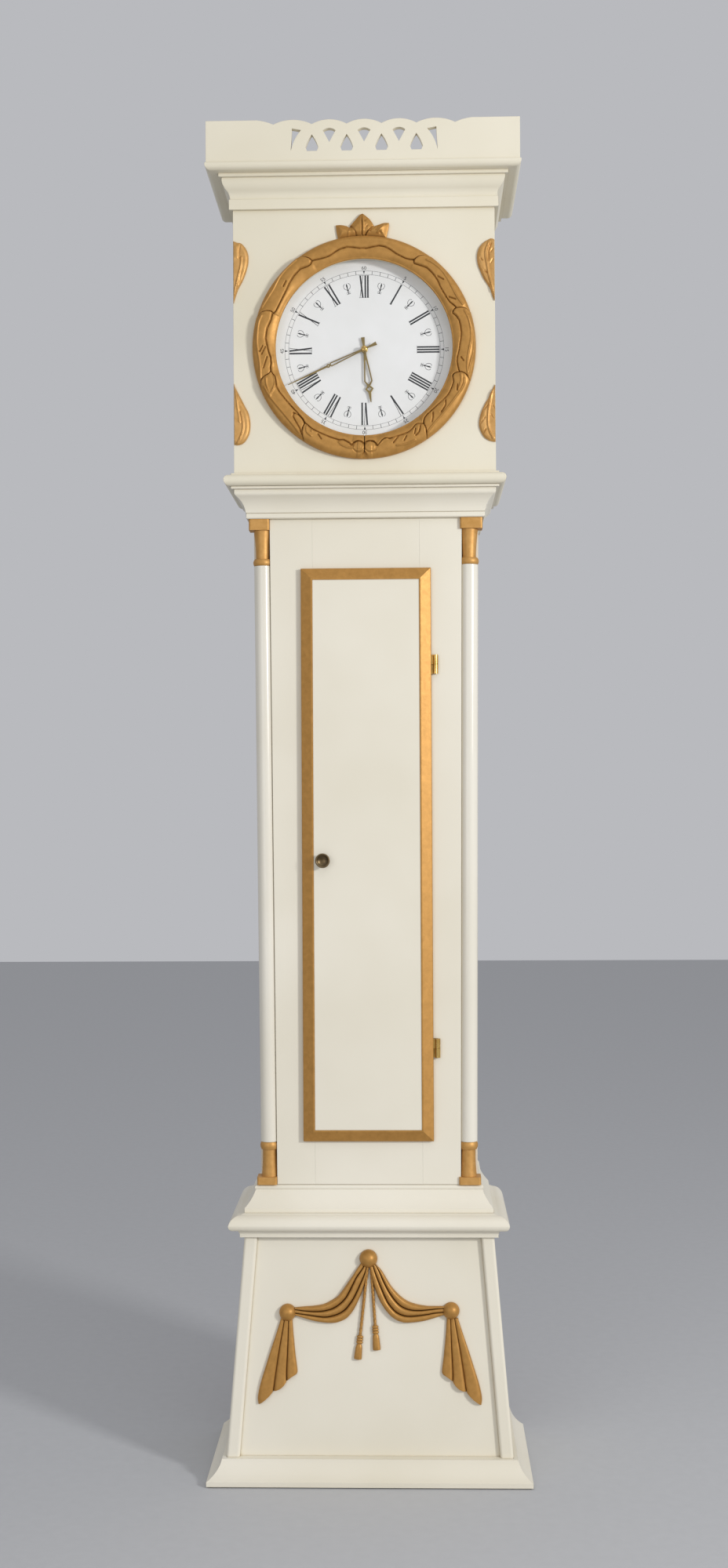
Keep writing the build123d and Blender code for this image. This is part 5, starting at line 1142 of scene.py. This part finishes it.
def chain(name, node):
    """Links from the node's top to its foot."""
    (x0, y0, z0), (x1, y1, z1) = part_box(node)
    middle = ((x0 + x1) / 2, (y0 + y1) / 2)
    pitch = PITCH * MM
    count = int((z1 - z0 - 4 * MM) / pitch)
    spare = (z1 - z0 - count * pitch) / 2
    links = [link_parts(Vector((*middle, z0 + spare + (k + 0.5) * pitch)), k % 2) for k in range(count)]
    piece = place(name, *join_parts(links), None, "brass", clock_brass, [node])
    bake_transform(piece)
    return count


print("weight chain links:", chain("weight_chain_links", "weight_chain"))
print("free chain links:", chain("free_chain_links", "free_chain"))

# %% [markdown]
# ## Camera, floor and light
#
# The clock is seen from the front, a little to the right of its middle and from about a metre up. The
# floor is plain and pale. The key lamp stands far out on the right at shoulder height, so it rakes over
# the carving and throws the door's edge into shadow on the left. A wide weak lamp on the left, one
# overhead and one near the floor soften it, and the sky is an even pale grey.

# %% Camera
CAMERA_AT = Vector((64.98, -2622.86, 978.27)) * MM
YAW, TURN_DOWN, ROLL = -0.026934, -0.008192, -0.005373  # radians
FOCAL_HEIGHTS = 2248.04 / 2000  # focal length over the height of the view
forward = Vector((sin(YAW) * cos(TURN_DOWN), cos(YAW) * cos(TURN_DOWN), -sin(TURN_DOWN)))
right = Vector((cos(YAW), -sin(YAW), 0))
up = right.cross(forward)
camera_data = bpy.data.cameras.new("camera")
camera_data.sensor_fit = "VERTICAL"
camera_data.sensor_height = 36.0
camera_data.lens = FOCAL_HEIGHTS * camera_data.sensor_height
camera = bpy.data.objects.new("camera", camera_data)
axes = Matrix((right * cos(ROLL) + up * sin(ROLL), up * cos(ROLL) - right * sin(ROLL), -forward))
camera.matrix_world = Matrix.Translation(CAMERA_AT) @ axes.transposed().to_4x4()
bpy.context.scene.collection.objects.link(camera)
bpy.context.scene.camera = camera
print("camera at", [round(v, 2) for v in CAMERA_AT], "with a lens of", round(camera_data.lens, 1), "mm")

# %% Floor
floor_mesh = bpy.data.meshes.new("floor")
edge = 8  # metres from the middle
corners = [(-edge, -edge, 0), (edge, -edge, 0), (edge, edge, 0), (-edge, edge, 0)]
floor_mesh.from_pydata(corners, [], [(0, 1, 2, 3)])
floor = bpy.data.objects.new("floor", floor_mesh)
bpy.context.scene.collection.objects.link(floor)
floor_paint, tree, position = new_material("pale_floor")
specks = add(tree, "ShaderNodeTexNoise", {"Vector": position, "Scale": 60.0, "Detail": 4.0})  # 17 mm wide
pale = add(tree, "ShaderNodeMix", {0: specks, 6: "#b9babc", 7: "#c0c1c3"}, data_type="RGBA").outputs[2]
shader = add(tree, "ShaderNodeBsdfPrincipled", {"Base Color": pale, "Roughness": 0.9})
add(tree, "ShaderNodeOutputMaterial", {"Surface": shader})
floor_mesh.materials.append(floor_paint)
print("floor", 2 * edge, "m wide")


# %% Light
def soft_lamp(name, at, target, size, power):
    data = bpy.data.lights.new(name, "AREA")
    data.size, data.energy = size, power
    lamp = bpy.data.objects.new(name, data)
    lamp.location = at
    lamp.rotation_euler = (Vector(target) - Vector(at)).to_track_quat("-Z", "Y").to_euler()
    bpy.context.scene.collection.objects.link(lamp)
    print(name, power, "W")


soft_lamp("key_right", (2.8, -2.6, 1.75), (0, 0, 0.8), 0.5, 82)
soft_lamp("window_left", (-1.1, -2.9, 1.2), (0, 0, 1.0), 1.4, 12)
soft_lamp("ceiling", (0.6, -2.2, 3.6), (0, 0, 1.0), 1.6, 8)
soft_lamp("fill_low", (0.9, -3.3, 0.5), (0, 0, 0.6), 2.0, 3)
world = bpy.data.worlds.new("studio")
bpy.context.scene.world = world
world.use_nodes = True
world.node_tree.nodes["Background"].inputs["Color"].default_value = linear("#b9babe")
world.node_tree.nodes["Background"].inputs["Strength"].default_value = 1.0
bpy.context.scene.view_settings.view_transform = "Standard"

# %% Final update
bpy.context.view_layer.update()
